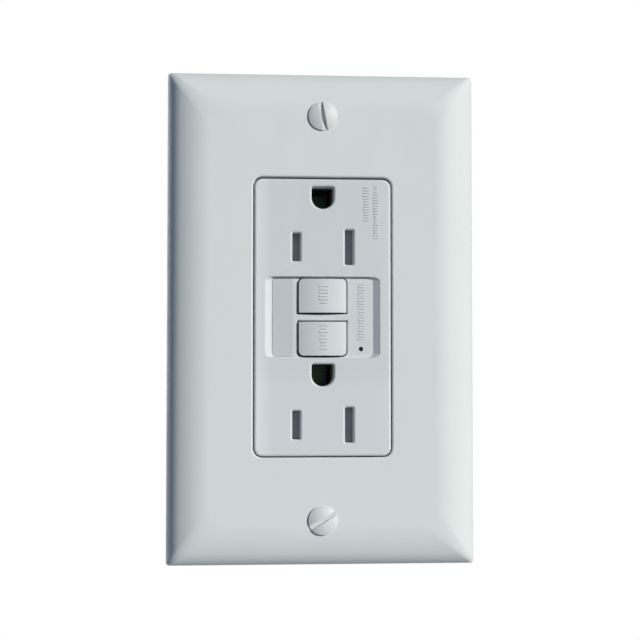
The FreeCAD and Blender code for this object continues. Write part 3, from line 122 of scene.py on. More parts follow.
class DetailSettings(bpy.types.PropertyGroup):
    """Sizes of the small features that the finished pieces carry."""
    edge: size("Edge", "Width of the small rounding on moulded edges", 0.14 * MM)
    metal_edge: size("Metal edge", "Width of the rounding on pressed metal edges", 0.12 * MM)
    solder_radius: size("Solder radius", "Radius of the solder domes on the board", 0.75 * MM)
    relief: size("Relief", "Depth of the panel and marks on the back", 0.35 * MM)
    fine_edge: size("Fine edge", "Width of the rounding on components and small pieces", 0.08 * MM)
    mark_rise: size("Mark rise", "Height of the raised strokes", 0.23 * MM)
    mark_breadth: size("Mark breadth", "Half the breadth of a raised stroke", 0.15 * MM)
    thread_pitch: size("Thread pitch", "Pitch of the machine screw threads", 0.794 * MM)
    thread_depth: size("Thread depth", "Depth of the machine screw threads", 0.33 * MM)
    slot_width: size("Slot width", "Width of the driver slots in the turned screws", 1.1 * MM)
    slot_depth: size("Slot depth", "Depth of the driver slots in the turned screws", 1.0 * MM)
    slot_edge: size("Slot edge", "Width of the rounding on the turned screws", 0.1 * MM)
    spring_wire: size("Spring wire", "Half the thickness of the springs' wire", 0.2 * MM)
    core_wire: size("Core wire", "Half the thickness of the wire round the ring cores", 0.2 * MM)
    core_thickness: size("Core thickness", "Radial thickness of a ring core", 2.6 * MM)
    magnet_turns: IntProperty(name="Magnet turns", description="Visible turns along the trip coil",
                              default=21, min=3)
    core_turns: IntProperty(name="Core turns", description="Visible turns round each ring core",
                            default=64, min=8)


class PlateSettings(bpy.types.PropertyGroup):
    """The wall plate's edge curve and opening."""
    run: size("Edge run", "Width of the curved edge, from the outline to the flat front", 10.2 * MM)
    wall: size("Wall", "Thickness of the plate's wall", 2.0 * MM)
    side: size("Side", "Height of the short straight side", 0.77 * MM)
    draft: size("Draft", "Lean of the straight side", 0.2 * MM)
    corner_run: size("Corner run", "Width of the tighter outer curve", 3.05 * MM)
    corner_drop: size("Corner drop", "Height of the tighter outer curve", 3.51 * MM)
    corner_radius: size("Corner radius", "Radius of the tighter outer curve", 6.5 * MM)
    outline_corner: size("Outline corner", "Radius of the outline's corners", 0.9 * MM)
    corner_growth: size("Corner growth", "How much softer the corners are at the flat front", 3.2 * MM)
    opening_side: size("Opening side", "Reach of the opening to each side of the middle", 16.7 * MM)
    opening_low: size("Opening low", "Depth of the opening's lower edge below the middle", 33.5 * MM)
    opening_high: size("Opening high", "Height of the opening's upper edge", 33.7 * MM)
    opening_corner: size("Opening corner", "Radius of the opening's corners", 2.3 * MM)
    opening_round: size("Opening round", "Rounding of the opening's front edge", 0.45 * MM)
    boss_radius: size("Boss radius", "Radius of the bosses behind the screw holes", 3.2 * MM)
    hole_radius: size("Hole radius", "Radius of the screw holes", 1.9 * MM)
    sink_radius: size("Countersink radius", "Radius of the countersinks at the front", 3.266 * MM)
    sink_depth: size("Countersink depth", "Depth of the countersinks", 1.6 * MM)
    screw_height: size("Screw height", "Height of the plate screws above and below the middle", 48.42 * MM)


class StageSettings(bpy.types.PropertyGroup):
    """Camera, lamps and floor."""
    azimuth: angle("Azimuth", "Camera's turn about the upright", -4.51)
    elevation: angle("Elevation", "Camera's height angle", -2.35)
    distance: size("Distance", "From the camera to the plate", 0.3487)
    aim: FloatVectorProperty(name="Aim", description="The point that the camera looks at", size=3,
                             default=(-0.435 * MM, -3 * MM, -0.572 * MM), subtype="TRANSLATION")
    lens: FloatProperty(name="Lens", description="Focal length on a 36 mm sensor", default=81.27, min=1)
    sun: strength("Sun", "Strength of the lamp", 3.38)
    sun_from: direction("Sun from", "Where the lamp stands, seen from the outlet", (0.62, -0.70, 0.33))
    sun_spread: angle("Sun spread", "How wide the lamp looks from the outlet", 2.2)
    sun_colour: colour("Sun colour", "Colour of the lamp", (1.0, 0.985, 0.955))
    rear_fill: strength("Rear fill", "Strength of the soft lamp behind", 1.6)
    fill_from: direction("Fill from", "Where the soft lamp stands, seen from the outlet", (-0.55, 0.78, 0.3))
    fill_spread: angle("Fill spread", "How wide the soft lamp looks from the outlet", 40)
    ambient: colour("Ambient", "Colour of the light from all round", (0.042, 0.074, 0.135))
    floor_drop: size("Floor drop", "Depth of the floor below the plate", 0.32)
    floor_radius: size("Floor radius", "Radius of the round floor", 0.4)


# ---------------------------------------------------------------- node work

class NodeWork:
    """Short calls that add nodes to one tree."""

    def __init__(self, tree):
        self.tree = tree

    def node(self, kind, links=None, **values):
        """Adds a node. The values go to its properties, the links to its inputs."""
        made = self.tree.nodes.new(kind)
        for key, value in values.items():
            setattr(made, key, value)
        for key, value in (links or {}).items():
            self.put(made.inputs[key], value)
        return made

    def put(self, socket, value):
        """Gives a socket a plain value or a link."""
        if isinstance(value, bpy.types.NodeSocket):
            self.tree.links.new(value, socket)
        else:
            socket.default_value = value

    def reckon(self, operation, *terms):
        """One step of arithmetic on numbers or sockets."""
        return self.node("ShaderNodeMath", dict(enumerate(terms)), operation=operation).outputs[0]

    def vector(self, **parts):
        """A vector from its X, Y and Z."""
        return self.node("ShaderNodeCombineXYZ", parts).outputs["Vector"]

    def part(self, vector, axis):
        """The X, Y or Z of a vector."""
        return self.node("ShaderNodeSeparateXYZ", {"Vector": vector}).outputs[axis]

    def mapped(self, vector, **links):
        """A vector moved, turned or scaled."""
        return self.node("ShaderNodeMapping", {"Vector": vector, **links}).outputs["Vector"]


# ---------------------------------------------------------------- materials

class Shader(NodeWork):
    """A material under construction."""

    def __init__(self, name):
        self.material = bpy.data.materials.new(name)
        self.material.use_nodes = True
        super().__init__(self.material.node_tree)
        self.bsdf = self.tree.nodes["Principled BSDF"]

    def place(self, scale=(1, 1, 1)):
        """Object coordinates in millimetres, stretched by scale."""
        coordinates = self.node("ShaderNodeTexCoord")
        return self.mapped(coordinates.outputs["Object"], Scale=tuple(1000 * part for part in scale))

    def noise(self, vector, scale, detail=3, rough=0.5):
        links = {"Vector": vector, "Scale": scale, "Detail": detail, "Roughness": rough}
        return self.node("ShaderNodeTexNoise", links).outputs["Fac"]

    def spread(self, value, low, high, start=0.3, end=0.7):
        """Maps a pattern's middle range to low and high."""
        links = {"Value": value, "From Min": start, "From Max": end, "To Min": low, "To Max": high}
        return self.node("ShaderNodeMapRange", links).outputs["Result"]

    def blend(self, share, first, second, kind="MIX"):
        mix = self.node("ShaderNodeMix", data_type="RGBA", blend_type=kind)
        self.put(mix.inputs["Factor"], share)
        for socket, value in ((mix.inputs[6], first), (mix.inputs[7], second)):
            self.put(socket, value if isinstance(value, bpy.types.NodeSocket) else (*value, 1))
        return mix.outputs[2]

    def bump(self, height, distance, normal=None, strength=1.0):
        links = {"Height": height, "Distance": distance, "Strength": strength}
        if normal is not None:
            links["Normal"] = normal
        return self.node("ShaderNodeBump", links).outputs["Normal"]


def tint(colour_value, factor):
    return tuple(min(1.0, part * factor) for part in colour_value)


def moulded(name, colour_value, rough, grain=0.004, shine=0.4, cloud=0.035, dust=0.0, painted_light=(), bands=()):
    """Moulded plastic: faint flow clouds, a fine tool texture and slightly uneven gloss.

    Each painted light entry is an axis, two places along it in millimetres and the painted light tones there.
    Each band is an axis, a place, half its width and its colour, and it shows on both sides of the middle.
    """
    shader = Shader(name)
    place = shader.place()
    flow = shader.noise(shader.place((1, 1, 0.45)), 0.11, 4, 0.55)
    tone = shader.spread(flow, 0, 1)
    base = shader.blend(tone, tint(colour_value, 1 - cloud), tint(colour_value, 1 + cloud))
    # Painted light: each entry multiplies the colour by tones that get lighter or darker along one axis, as light
    # and shade would.
    for axis, start, end, first, last in painted_light:
        painted_tones = shader.spread(shader.part(place, axis), first, last, start, end)
        base = shader.blend(1.0, base, painted_tones, "MULTIPLY")
    for axis, middle, half, band_colour in bands:
        distance = shader.reckon("ABSOLUTE", shader.part(place, axis))
        base = shader.blend(shader.reckon("COMPARE", distance, middle, half), base, band_colour)
    if dust:
        specks = shader.spread(shader.noise(place, 5.5, 2, 0.6), 0, dust, 0.62, 0.78)
        base = shader.blend(specks, base, tint(colour_value, 0.55))
    shader.put(shader.bsdf.inputs["Base Color"], base)
    skin = shader.noise(place, 7.0, 5, 0.6)
    waves = shader.noise(place, 0.35, 2, 0.5)
    uneven = shader.spread(shader.noise(place, 0.8, 4, 0.6), rough - 0.05, rough + 0.07)
    shader.put(shader.bsdf.inputs["Roughness"], uneven)
    broad = shader.bump(waves, grain * MM * 6, strength=0.5)
    shader.put(shader.bsdf.inputs["Normal"], shader.bump(skin, grain * MM, broad))
    shader.bsdf.inputs["Specular IOR Level"].default_value = shine
    return shader.material


def plated(name, colour_value, rough, stretch=(1, 1, 12), stain=0.12):
    """Metal with fine drawn lines, stains in the plating and uneven shine."""
    shader = Shader(name)
    lines = shader.noise(shader.place(stretch), 2.6, 4, 0.65)
    blotch = shader.noise(shader.place(), 0.5, 5, 0.62)
    dull, bright = tint(colour_value, 1 - stain), tint(colour_value, 1 + stain / 2)
    base = shader.blend(shader.spread(blotch, 0, 1), dull, bright)
    base = shader.blend(shader.spread(lines, 0, 0.35), base, tint(colour_value, 0.72))
    shader.put(shader.bsdf.inputs["Base Color"], base)
    shader.bsdf.inputs["Metallic"].default_value = 1.0
    shader.put(shader.bsdf.inputs["Roughness"], shader.spread(blotch, rough - 0.08, rough + 0.14))
    shader.put(shader.bsdf.inputs["Normal"], shader.bump(lines, 0.003 * MM))
    return shader.material


def laminate(name, colour_value):
    """Solder mask over a woven glass board, with copper tracks that show as raised lighter lines."""
    shader = Shader(name)
    flat = shader.mapped(shader.place(), Rotation=(math.radians(90), 0, 0))
    tracks = shader.node("ShaderNodeTexBrick", {
        "Vector": flat, "Scale": 0.42, "Mortar Size": 0.03, "Brick Width": 1.1,
        "Row Height": 0.38}).outputs["Fac"]
    weave = shader.noise(shader.place((3, 3, 3)), 1.6, 2, 0.5)
    base = shader.blend(tracks, colour_value, tint(colour_value, 1.9))
    base = shader.blend(shader.spread(weave, 0, 0.25), base, tint(colour_value, 0.6))
    shader.put(shader.bsdf.inputs["Base Color"], base)
    shader.put(shader.bsdf.inputs["Roughness"], shader.spread(weave, 0.25, 0.4))
    shader.put(shader.bsdf.inputs["Normal"], shader.bump(tracks, 0.03 * MM))
    return shader.material


def wrapped_wire(name, colour_value):
    """Enamelled wire, darker where its turns meet: painted shade in the creases between them."""
    shader = Shader(name)
    place = shader.place()
    pitch = 0.42
    crease_shade = shader.node("ShaderNodeTexWave", {
        "Vector": place, "Scale": 1 / pitch / 6.28, "Distortion": 0.6, "Detail": 1.0},
        bands_direction="Z").outputs["Fac"]
    blotch = shader.noise(place, 0.9, 3, 0.5)
    base = shader.blend(shader.spread(blotch, 0, 1), tint(colour_value, 0.8), tint(colour_value, 1.2))
    # Painted shade: darker streaks where the turns meet.
    base = shader.blend(shader.spread(crease_shade, 0.5, 0, 0, 0.4), base, tint(colour_value, 0.4))
    shader.put(shader.bsdf.inputs["Base Color"], base)
    shader.bsdf.inputs["Metallic"].default_value = 0.75
    shader.put(shader.bsdf.inputs["Roughness"], shader.spread(blotch, 0.25, 0.4))
    shader.bsdf.inputs["Coat Weight"].default_value = 0.5
    return shader.material


def clear_lens(name, colour_value, clear=0.7, shine=0.5):
    """Clear moulded plastic with a faint tint and small flow lines."""
    shader = Shader(name)
    place = shader.place()
    flow = shader.noise(place, 1.5, 3, 0.5)
    shader.put(shader.bsdf.inputs["Base Color"], shader.blend(flow, colour_value, tint(colour_value, 0.85)))
    shader.put(shader.bsdf.inputs["Roughness"], shader.spread(flow, 0.08, 0.2))
    shader.bsdf.inputs["Transmission Weight"].default_value = clear
    shader.bsdf.inputs["Specular IOR Level"].default_value = shine
    shader.bsdf.inputs["IOR"].default_value = 1.49
    return shader.material


materials = {}


def make_materials(finish):
    """Every finish of the outlet, by its slot in the record, and a few that only some pieces have."""
    plate, face, button, strip, housing, brass, steel = (tuple(getattr(finish, part)) for part in (
        "plate", "face", "button", "strip", "housing", "brass", "steel"))
    black = (0.02, 0.02, 0.022)
    sleeve = (0.02, 0.035, 0.10)
    # Painted light on the face: a painted highlight along the left edge, and lighter towards the right edge and
    # the bottom.
    face_painted_light = (("X", -16.4, -12.0, 1.18, 1.0), ("X", 13.0, 16.2, 1.0, 1.04), ("Z", -17, -13, 1.04, 1.0))
    # Painted shade on the buttons' left side and a painted highlight towards their right side.
    button_painted_light = (("X", -5.7, 5.7, 0.9, 1.03),)
    tin, print_grey = (0.55, 0.55, 0.53), (0.6, 0.6, 0.58)
    resistor_bands = (
        ("X", 9.6, 0.25, (0.12, 0.04, 0.02)), ("X", 10.5, 0.25, (0.015, 0.015, 0.015)),
        ("X", 11.4, 0.25, (0.45, 0.03, 0.02)), ("X", 12.5, 0.25, (0.45, 0.30, 0.05)),
        ("X", 8.0, 0.65, tin), ("X", 14.0, 0.65, tin))
    diode_bands = (
        *(("Z", middle, 0.3, (0.55, 0.55, 0.55)) for middle in (5.9, 16.1)),
        *(("Z", middle, 0.62, (0.5, 0.5, 0.48)) for middle in (1.7, 7.1, 11.9, 17.3)))
    chip_bands = (("Z", 11.7, 0.48, print_grey), ("Z", 16.5, 0.48, print_grey))
    can_bands = (("X", 5.2, 0.45, (0.42, 0.46, 0.52)), ("Y", 23.5, 0.15, (0.62, 0.62, 0.62)))
    materials.update({
        "plate_white": moulded("plate_moulding", plate, 0.5, grain=0.003, shine=0.14, cloud=0.012),
        "device_white": moulded("face_moulding", face, 0.46, grain=0.003, shine=0.18, cloud=0.012,
                                painted_light=face_painted_light),
        "button_white": moulded("button_moulding", button, 0.42, grain=0.003, shine=0.2, cloud=0.015,
                                painted_light=button_painted_light),
        "label_grey": moulded("strip_film", strip, 0.5, grain=0.002, shine=0.3, cloud=0.03),
        # The light pipe is coloured near black: painted shade for the dark lamp hole.
        "lens_clear": clear_lens("light_pipe_clear", (0.03, 0.04, 0.035), clear=0.25, shine=0.06),
        "lamp_green": clear_lens("lamp_body", (0.35, 0.75, 0.4)),
        "shutter_grey": moulded("shutter_moulding", (0.30, 0.31, 0.33), 0.5, grain=0.005, shine=0.2),
        "screw_paint": moulded("screw_paint", tint(plate, 0.95), 0.42, grain=0.006, shine=0.22, cloud=0.03,
                               dust=0.25),
        "zinc_steel": plated("zinc_plate", steel, 0.34),
        "green_screw": moulded("green_dye", (0.03, 0.23, 0.08), 0.3, shine=0.5, cloud=0.12),
        "brass": plated("spring_brass", brass, 0.28, stretch=(1, 1, 9), stain=0.16),
        # Brass darkened almost to black: painted shade for the deep ground holes, over the plating's tarnish
        # stains.
        "aged_brass": plated("aged_brass", tint(brass, 0.08), 0.55, stretch=(1, 1, 9), stain=0.2),
        "brass_screw": plated("turned_brass", tint(brass, 0.95), 0.26, stretch=(6, 1, 1), stain=0.18),
        "silver_screw": plated("nickel_plate", (0.68, 0.67, 0.64), 0.2, stretch=(6, 1, 1), stain=0.1),
        "fibre": moulded("fibre_washer", (0.46, 0.36, 0.24), 0.8, grain=0.02, shine=0.2, cloud=0.12),
        "housing_grey": moulded("housing_moulding", housing, 0.48, grain=0.012, cloud=0.1),
        "insulator_blue": moulded("insulator_moulding", (0.075, 0.10, 0.15), 0.5, grain=0.008, cloud=0.1),
        "board_green": laminate("solder_mask", (0.02, 0.15, 0.06)),
        "ferrite": moulded("ferrite_core", (0.05, 0.05, 0.055), 0.45, grain=0.02, shine=0.5, cloud=0.2),
        "copper_wire": wrapped_wire("enamelled_copper", (0.62, 0.22, 0.09)),
        "bobbin_nylon": moulded("natural_nylon", (0.72, 0.69, 0.58), 0.4, cloud=0.04),
        "carrier_nylon": moulded("carrier_moulding", (0.36, 0.06, 0.05), 0.42, cloud=0.06),
        "spring_steel": plated("spring_wire", (0.52, 0.52, 0.52), 0.25, stretch=(1, 8, 1), stain=0.1),
        "part_black": moulded("epoxy_case", black, 0.42, grain=0.01, cloud=0.2),
        "varistor_blue": moulded("dipped_epoxy", (0.02, 0.08, 0.30), 0.3, grain=0.02, shine=0.5, cloud=0.12),
        "capacitor_sleeve": moulded("capacitor_sleeve", sleeve, 0.25, shine=0.5, cloud=0.1),
        "resistor_tan": moulded("lacquer", (0.55, 0.40, 0.22), 0.35, grain=0.008, shine=0.5, cloud=0.08,
                                bands=resistor_bands),
        "diode_case": moulded("diode_case", black, 0.4, grain=0.01, cloud=0.2, bands=diode_bands),
        "chip_case": moulded("chip_case", black, 0.5, grain=0.012, cloud=0.2, bands=chip_bands),
        "can_sleeve": moulded("can_sleeve", sleeve, 0.25, shine=0.5, cloud=0.1, bands=can_bands),
        "solder": plated("solder", (0.62, 0.62, 0.60), 0.22, stretch=(1, 1, 1), stain=0.1),
    })


# ---------------------------------------------------------------- shared mesh steps

SLOTS = {row["node"]: row["material_slot"] for row in frame["record"]["subparts"]}
BODIES = frame["record"]["behaviour"]["bodies"]
BODY_OF = {node: body for body, members in BODIES.items() for node in members}


def finish_piece(name, mesh, body, slot_name, nodes=(), own=None):
    """Makes a mesh one finished piece: its finish, its body and the frame nodes it stands for."""
    mesh.materials.clear()
    mesh.materials.append(own or materials[slot_name])
    piece = bpy.data.objects.new(name, mesh)
    bpy.context.scene.collection.objects.link(piece)
    if body:
        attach(piece, body)
    if nodes:
        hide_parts(*nodes)
    return piece


def mesh_from(bm, name, sharp=35):
    """Turns a bmesh into a mesh, smooth except across edges sharper than this many degrees."""
    for face in bm.faces:
        face.smooth = True
    limit = math.radians(sharp)
    for edge in bm.edges:
        edge.smooth = len(edge.link_faces) == 2 and edge.calc_face_angle(0) < limit
    mesh = bpy.data.meshes.new(name)
    bm.to_mesh(mesh)
    bm.free()
    return mesh


def merged_copy(node):
    """A bmesh of a frame node with its loose triangles sewn together and flat areas joined."""
    bm = bmesh.new()
    bm.from_mesh(frame["nodes"][node].data)
    bmesh.ops.remove_doubles(bm, verts=bm.verts, dist=2e-6)
    bmesh.ops.dissolve_limit(bm, angle_limit=math.radians(0.4), verts=bm.verts, edges=bm.edges,
                             delimit={"NORMAL"})
    bmesh.ops.connect_verts_concave(bm, faces=bm.faces)
    return bm


def tidied(bm):
    """Sews a bmesh's doubled points and drops its slivers."""
    bmesh.ops.remove_doubles(bm, verts=bm.verts, dist=1e-6)
    bmesh.ops.dissolve_degenerate(bm, dist=1e-6, edges=bm.edges)
    return bm


def held(mesh):
    """The mesh in an object of the scene, where modifiers can work on it."""
    holder = bpy.data.objects.new(mesh.name, mesh)
    bpy.context.scene.collection.objects.link(holder)
    return holder


def even_normals(holder, weight):
    """Shades an object by its large faces, so that narrow rounded edges stay crisp."""
    normals = holder.modifiers.new("normals", "WEIGHTED_NORMAL")
    normals.keep_sharp = True
    normals.weight = weight
    return baked(holder)


def soften(mesh, width, sharp=32):
    """Rounds the edges that are sharper than this many degrees."""
    holder = held(mesh)
    bevel = holder.modifiers.new("edge", "BEVEL")
    bevel.width = width
    bevel.segments = 2
    bevel.limit_method = "ANGLE"
    bevel.angle_limit = math.radians(sharp)
    bevel.use_clamp_overlap = True
    bevel.miter_outer = "MITER_ARC"
    return even_normals(holder, 80)


def baked(holder):
    """The evaluated mesh of an object, which is then removed with its modifiers."""
    graph = bpy.context.evaluated_depsgraph_get()
    mesh = bpy.data.meshes.new_from_object(holder.evaluated_get(graph))
    mesh.name = holder.name
    bpy.data.objects.remove(holder)
    return mesh


def refined(node, width, own=None):
    """A finished copy of a frame node, with rounded edges and smooth curves."""
    mesh = soften(mesh_from(merged_copy(node), node), width)
    return finish_piece(f"{node}_finished", mesh, BODY_OF[node], SLOTS[node], [node], own)


TURN_TO_Y = Matrix.Rotation(math.radians(-90), 4, "X")
TURN_TO_X = Matrix.Rotation(math.radians(90), 4, "Y")


def moved(mesh, turn, place):
    """The mesh turned and then put at a place."""
    mesh.transform(Matrix.Translation(place) @ turn)
    return mesh


def joined(name, meshes):
    """Several meshes as one."""
    bm = bmesh.new()
    for mesh in meshes:
        bm.from_mesh(mesh)
    bmesh.ops.dissolve_degenerate(bm, dist=1e-7, edges=bm.edges)
    result = bpy.data.meshes.new(name)
    bm.to_mesh(result)
    bm.free()
    return result


# ---------------------------------------------------------------- geometry-node helpers

class Tree(NodeWork):
    """A geometry node tree under construction."""

    def __init__(self, name, inputs):
        super().__init__(bpy.data.node_groups.new(name, "GeometryNodeTree"))
        self.tree.interface.new_socket("Geometry", in_out="OUTPUT", socket_type="NodeSocketGeometry")
        self.keys = {}
        for label, kind, default in inputs:
            socket = self.tree.interface.new_socket(label, in_out="INPUT", socket_type=f"NodeSocket{kind}")
            if default is not None:
                socket.default_value = default
            self.keys[label] = socket.identifier
        self.given = self.tree.nodes.new("NodeGroupInput").outputs

    def circle(self, resolution, radius):
        links = {"Resolution": resolution, "Radius": radius}
        return self.node("GeometryNodeCurvePrimitiveCircle", links).outputs["Curve"]

    def tube(self, curve, profile, caps=False):
        """The profile drawn along the curve."""
        links = {"Curve": curve, "Profile Curve": profile, "Fill Caps": caps}
        return self.node("GeometryNodeCurveToMesh", links).outputs["Mesh"]

    def row(self, count, step):
        """A line of points along Z, one step apart."""
        links = {"Count": count, "Offset": self.vector(Z=step)}
        return self.node("GeometryNodeMeshLine", links).outputs["Mesh"]

    def copies(self, points, instance, **more):
        """The instance on every point."""
        links = {"Points": points, "Instance": instance, **more}
        return self.node("GeometryNodeInstanceOnPoints", links).outputs["Instances"]

    def end(self, geometry):
        """Realizes the instances, gives them their finish and closes the tree."""
        real = self.node("GeometryNodeRealizeInstances", {"Geometry": geometry}).outputs["Geometry"]
        done = self.node("GeometryNodeSetMaterial", {"Geometry": real, "Material": self.given["Material"]})
        out = self.tree.nodes.new("NodeGroupOutput")
        self.tree.links.new(done.outputs["Geometry"], out.inputs["Geometry"])
        return self

    def grow(self, name, points=(), **values):
        """Runs the tree once, on these points if it takes any, and returns the plain mesh it makes."""
        mesh = bpy.data.meshes.new(name)
        mesh.from_pydata(points, [], [])
        holder = bpy.data.objects.new(name, mesh)
        bpy.context.scene.collection.objects.link(holder)
        modifier = holder.modifiers.new("grown", "NODES")
        modifier.node_group = self.tree
        for label, value in values.items():
            modifier[self.keys[label.replace("_", " ")]] = value
        return baked(holder)


def helix_tree():
    """A wire wound round Z, as round as its number of sides: springs and screw threads."""
    made = Tree("helix", [("Turns", "Float", 5.0), ("Radius", "Float", 0.002), ("Height", "Float", 0.01),
                          ("Wire", "Float", 0.0002), ("Sides", "Int", 10), ("Steps", "Int", 40),
                          ("Material", "Material", None)])
    given = made.given
    spiral = made.node("GeometryNodeCurveSpiral", {
        "Resolution": given["Steps"], "Rotations": given["Turns"], "Start Radius": given["Radius"],
        "End Radius": given["Radius"], "Height": given["Height"]}).outputs["Curve"]
    upright = made.node("GeometryNodeSetCurveNormal", {"Curve": spiral}, mode="Z_UP").outputs["Curve"]
    return made.end(made.tube(upright, made.circle(given["Sides"], given["Wire"]), True))


def ring_winding_tree():
    """Loops of wire side by side round a ring core whose axis is Z."""
    made = Tree("ring_winding", [("Count", "Int", 60), ("Ring", "Float", 0.005), ("Across", "Float", 0.003),
                                 ("Along", "Float", 0.003), ("Wire", "Float", 0.0002),
                                 ("Material", "Material", None)])
    given = made.given
    loop = made.node("GeometryNodeCurvePrimitiveQuadrilateral", {
        "Width": given["Across"], "Height": given["Along"]}).outputs["Curve"]
    soft = made.node("GeometryNodeFilletCurve", {"Curve": loop, "Radius": 0.5 * MM, "Count": 3},
                     mode="POLY").outputs["Curve"]
    wire = made.tube(soft, made.circle(6, given["Wire"]))
    upright = made.node("GeometryNodeTransform", {
        "Geometry": wire, "Rotation": (math.radians(90), 0, 0)}).outputs["Geometry"]
    points = made.node("GeometryNodeMeshCircle", {
        "Vertices": given["Count"], "Radius": given["Ring"]}).outputs["Mesh"]
    index = made.node("GeometryNodeInputIndex").outputs["Index"]
    angle_here = made.reckon("MULTIPLY", index, made.reckon("DIVIDE", math.tau, given["Count"]))
    return made.end(made.copies(points, upright, Rotation=made.vector(Z=angle_here)))


def stacked_turns_tree():
    """Closed turns of wire stacked along Z, as on a bobbin."""
    made = Tree("stacked_turns", [("Count", "Int", 20), ("Radius", "Float", 0.004), ("Length", "Float", 0.01),
                                  ("Wire", "Float", 0.0002), ("Material", "Material", None)])
    given = made.given
    turn = made.tube(made.circle(48, given["Radius"]), made.circle(8, given["Wire"]))
    step = made.reckon("DIVIDE", given["Length"], made.reckon("SUBTRACT", given["Count"], 1.0))
    return made.end(made.copies(made.row(given["Count"], step), turn))


def strokes_tree():
    """A column of short raised strokes of uneven length along X, spaced down Z."""
    made = Tree("strokes", [("Count", "Int", 8), ("Spacing", "Float", 0.001), ("Length", "Float", 0.001),
                            ("Rise", "Float", 0.0001), ("Breadth", "Float", 0.0002), ("Seed", "Int", 1),
                            ("Material", "Material", None)])
    given = made.given
    bar = made.node("GeometryNodeCurvePrimitiveLine", {
        "Start": (-0.5, 0, 0), "End": (0.5, 0, 0)}).outputs["Curve"]
    stroke = made.tube(bar, made.circle(12, 1.0), True)
    share = made.node("FunctionNodeRandomValue", {"Seed": given["Seed"]}, data_type="FLOAT")
    share.inputs[2].default_value = 0.45
    share.inputs[3].default_value = 1.0
    shape = made.vector(X=made.reckon("MULTIPLY", share.outputs[1], given["Length"]), Y=given["Rise"],
                        Z=given["Breadth"])
    column = made.row(given["Count"], made.reckon("MULTIPLY", given["Spacing"], -1.0))
    return made.end(made.copies(column, stroke, Scale=shape))


def solder_tree():
    """A flattened dome on each given point, facing along Y."""
    made = Tree("solder", [("Points", "Geometry", None), ("Radius", "Float", 0.0007),
                           ("Material", "Material", None)])
    ball = made.node("GeometryNodeMeshUVSphere", {
        "Segments": 20, "Rings": 10, "Radius": made.given["Radius"]}).outputs["Mesh"]
    flat = made.node("GeometryNodeTransform", {"Geometry": ball, "Scale": (1, 0.55, 1)}).outputs["Geometry"]
    smooth = made.node("GeometryNodeSetShadeSmooth", {"Geometry": flat}).outputs["Geometry"]
    return made.end(made.copies(made.given["Points"], smooth))


trees = {}


# ---------------------------------------------------------------- stage

class OUTLET_OT_stage(bpy.types.Operator):
    """Camera, lamps, surrounding light and a pale floor"""
    bl_idname = "outlet.stage"
    bl_label = "Stage"

    def execute(self, context):
        scene, stage = context.scene, context.scene.outlet_stage
        turn, rise = stage.azimuth, stage.elevation
        back = Vector((math.sin(turn) * math.cos(rise), -math.cos(turn) * math.cos(rise), math.sin(rise)))
        camera = bpy.data.objects.new("camera", bpy.data.cameras.new("camera"))
        camera.data.lens = stage.lens
        camera.data.sensor_width = 36
        camera.data.clip_start = 0.01
        camera.location = Vector(stage.aim) + back * stage.distance
        camera.rotation_euler = (-back).to_track_quat("-Z", "Y").to_euler()
        scene.collection.objects.link(camera)
        scene.camera = camera
        self.lamp(scene, "sun", stage.sun, stage.sun_spread, stage.sun_from, stage.sun_colour)
        self.lamp(scene, "rear_fill", stage.rear_fill, stage.fill_spread, stage.fill_from, (1, 1, 1))
        scene.view_settings.view_transform = "Standard"
        self.surroundings(scene, stage)
        self.floor(scene, stage)
        return {"FINISHED"}

    def lamp(self, scene, name, energy, spread, source, tone):
        """A far lamp that shines from one direction."""
        lamp = bpy.data.objects.new(name, bpy.data.lights.new(name, "SUN"))
        lamp.data.energy = energy
        lamp.data.angle = spread
        lamp.data.color = tone
        lamp.rotation_euler = Vector(source).to_track_quat("Z", "Y").to_euler()
        scene.collection.objects.link(lamp)

    def surroundings(self, scene, stage):
        """Soft light from all round. The background itself is white."""
        world = bpy.data.worlds.new("studio")
        world.use_nodes = True
        scene.world = world
        work = NodeWork(world.node_tree)
        soft = work.tree.nodes["Background"]
        soft.inputs["Color"].default_value = (*stage.ambient, 1)
        white = work.node("ShaderNodeBackground", {"Color": (1, 1, 1, 1)})
        path = work.node("ShaderNodeLightPath").outputs
        seen = path["Is Camera Ray"]
        for ray in ("Is Glossy Ray", "Is Transmission Ray"):
            seen = work.reckon("MAXIMUM", seen, path[ray])
        mix = work.node("ShaderNodeMixShader", {0: seen, 1: soft.outputs[0], 2: white.outputs[0]})
        work.put(work.tree.nodes["World Output"].inputs["Surface"], mix.outputs[0])

    def floor(self, scene, stage):
        """A pale round floor that keeps the outlet's shadow and fades out at its rim."""
        bm = bmesh.new()
        bmesh.ops.create_circle(bm, cap_ends=True, radius=stage.floor_radius, segments=96)
        mesh = moved(mesh_from(bm, "floor"), Matrix(), Vector((0, 0, cad_low.z - stage.floor_drop)))
        shader = Shader("pale_floor")
        place = shader.place()
        speck = shader.spread(shader.noise(place, 0.4, 4), 0.86, 0.9)
        shader.put(shader.bsdf.inputs["Base Color"], shader.blend(speck, (0.8, 0.8, 0.8), (0.9, 0.9, 0.9)))
        shader.bsdf.inputs["Roughness"].default_value = 0.8
        glow = shader.node("ShaderNodeEmission", {"Color": (1, 1, 1, 1), "Strength": 1.0})
        level = shader.mapped(place, Scale=(1, 1, 0))
        away = shader.node("ShaderNodeVectorMath", {0: level}, operation="LENGTH").outputs["Value"]
        fade_start, fade_end = 60, 360
        fade = shader.spread(away, 0.55, 1.0, fade_start, fade_end)
        share = shader.reckon("MULTIPLY", fade, shader.node("ShaderNodeLightPath").outputs["Is Camera Ray"])
        mix = shader.node("ShaderNodeMixShader", {0: share, 1: shader.bsdf.outputs[0], 2: glow.outputs[0]})
        shader.put(shader.tree.nodes["Material Output"].inputs["Surface"], mix.outputs[0])
        mesh.materials.append(shader.material)
        floor = bpy.data.objects.new("floor", mesh)
        scene.collection.objects.link(floor)


# ---------------------------------------------------------------- screws

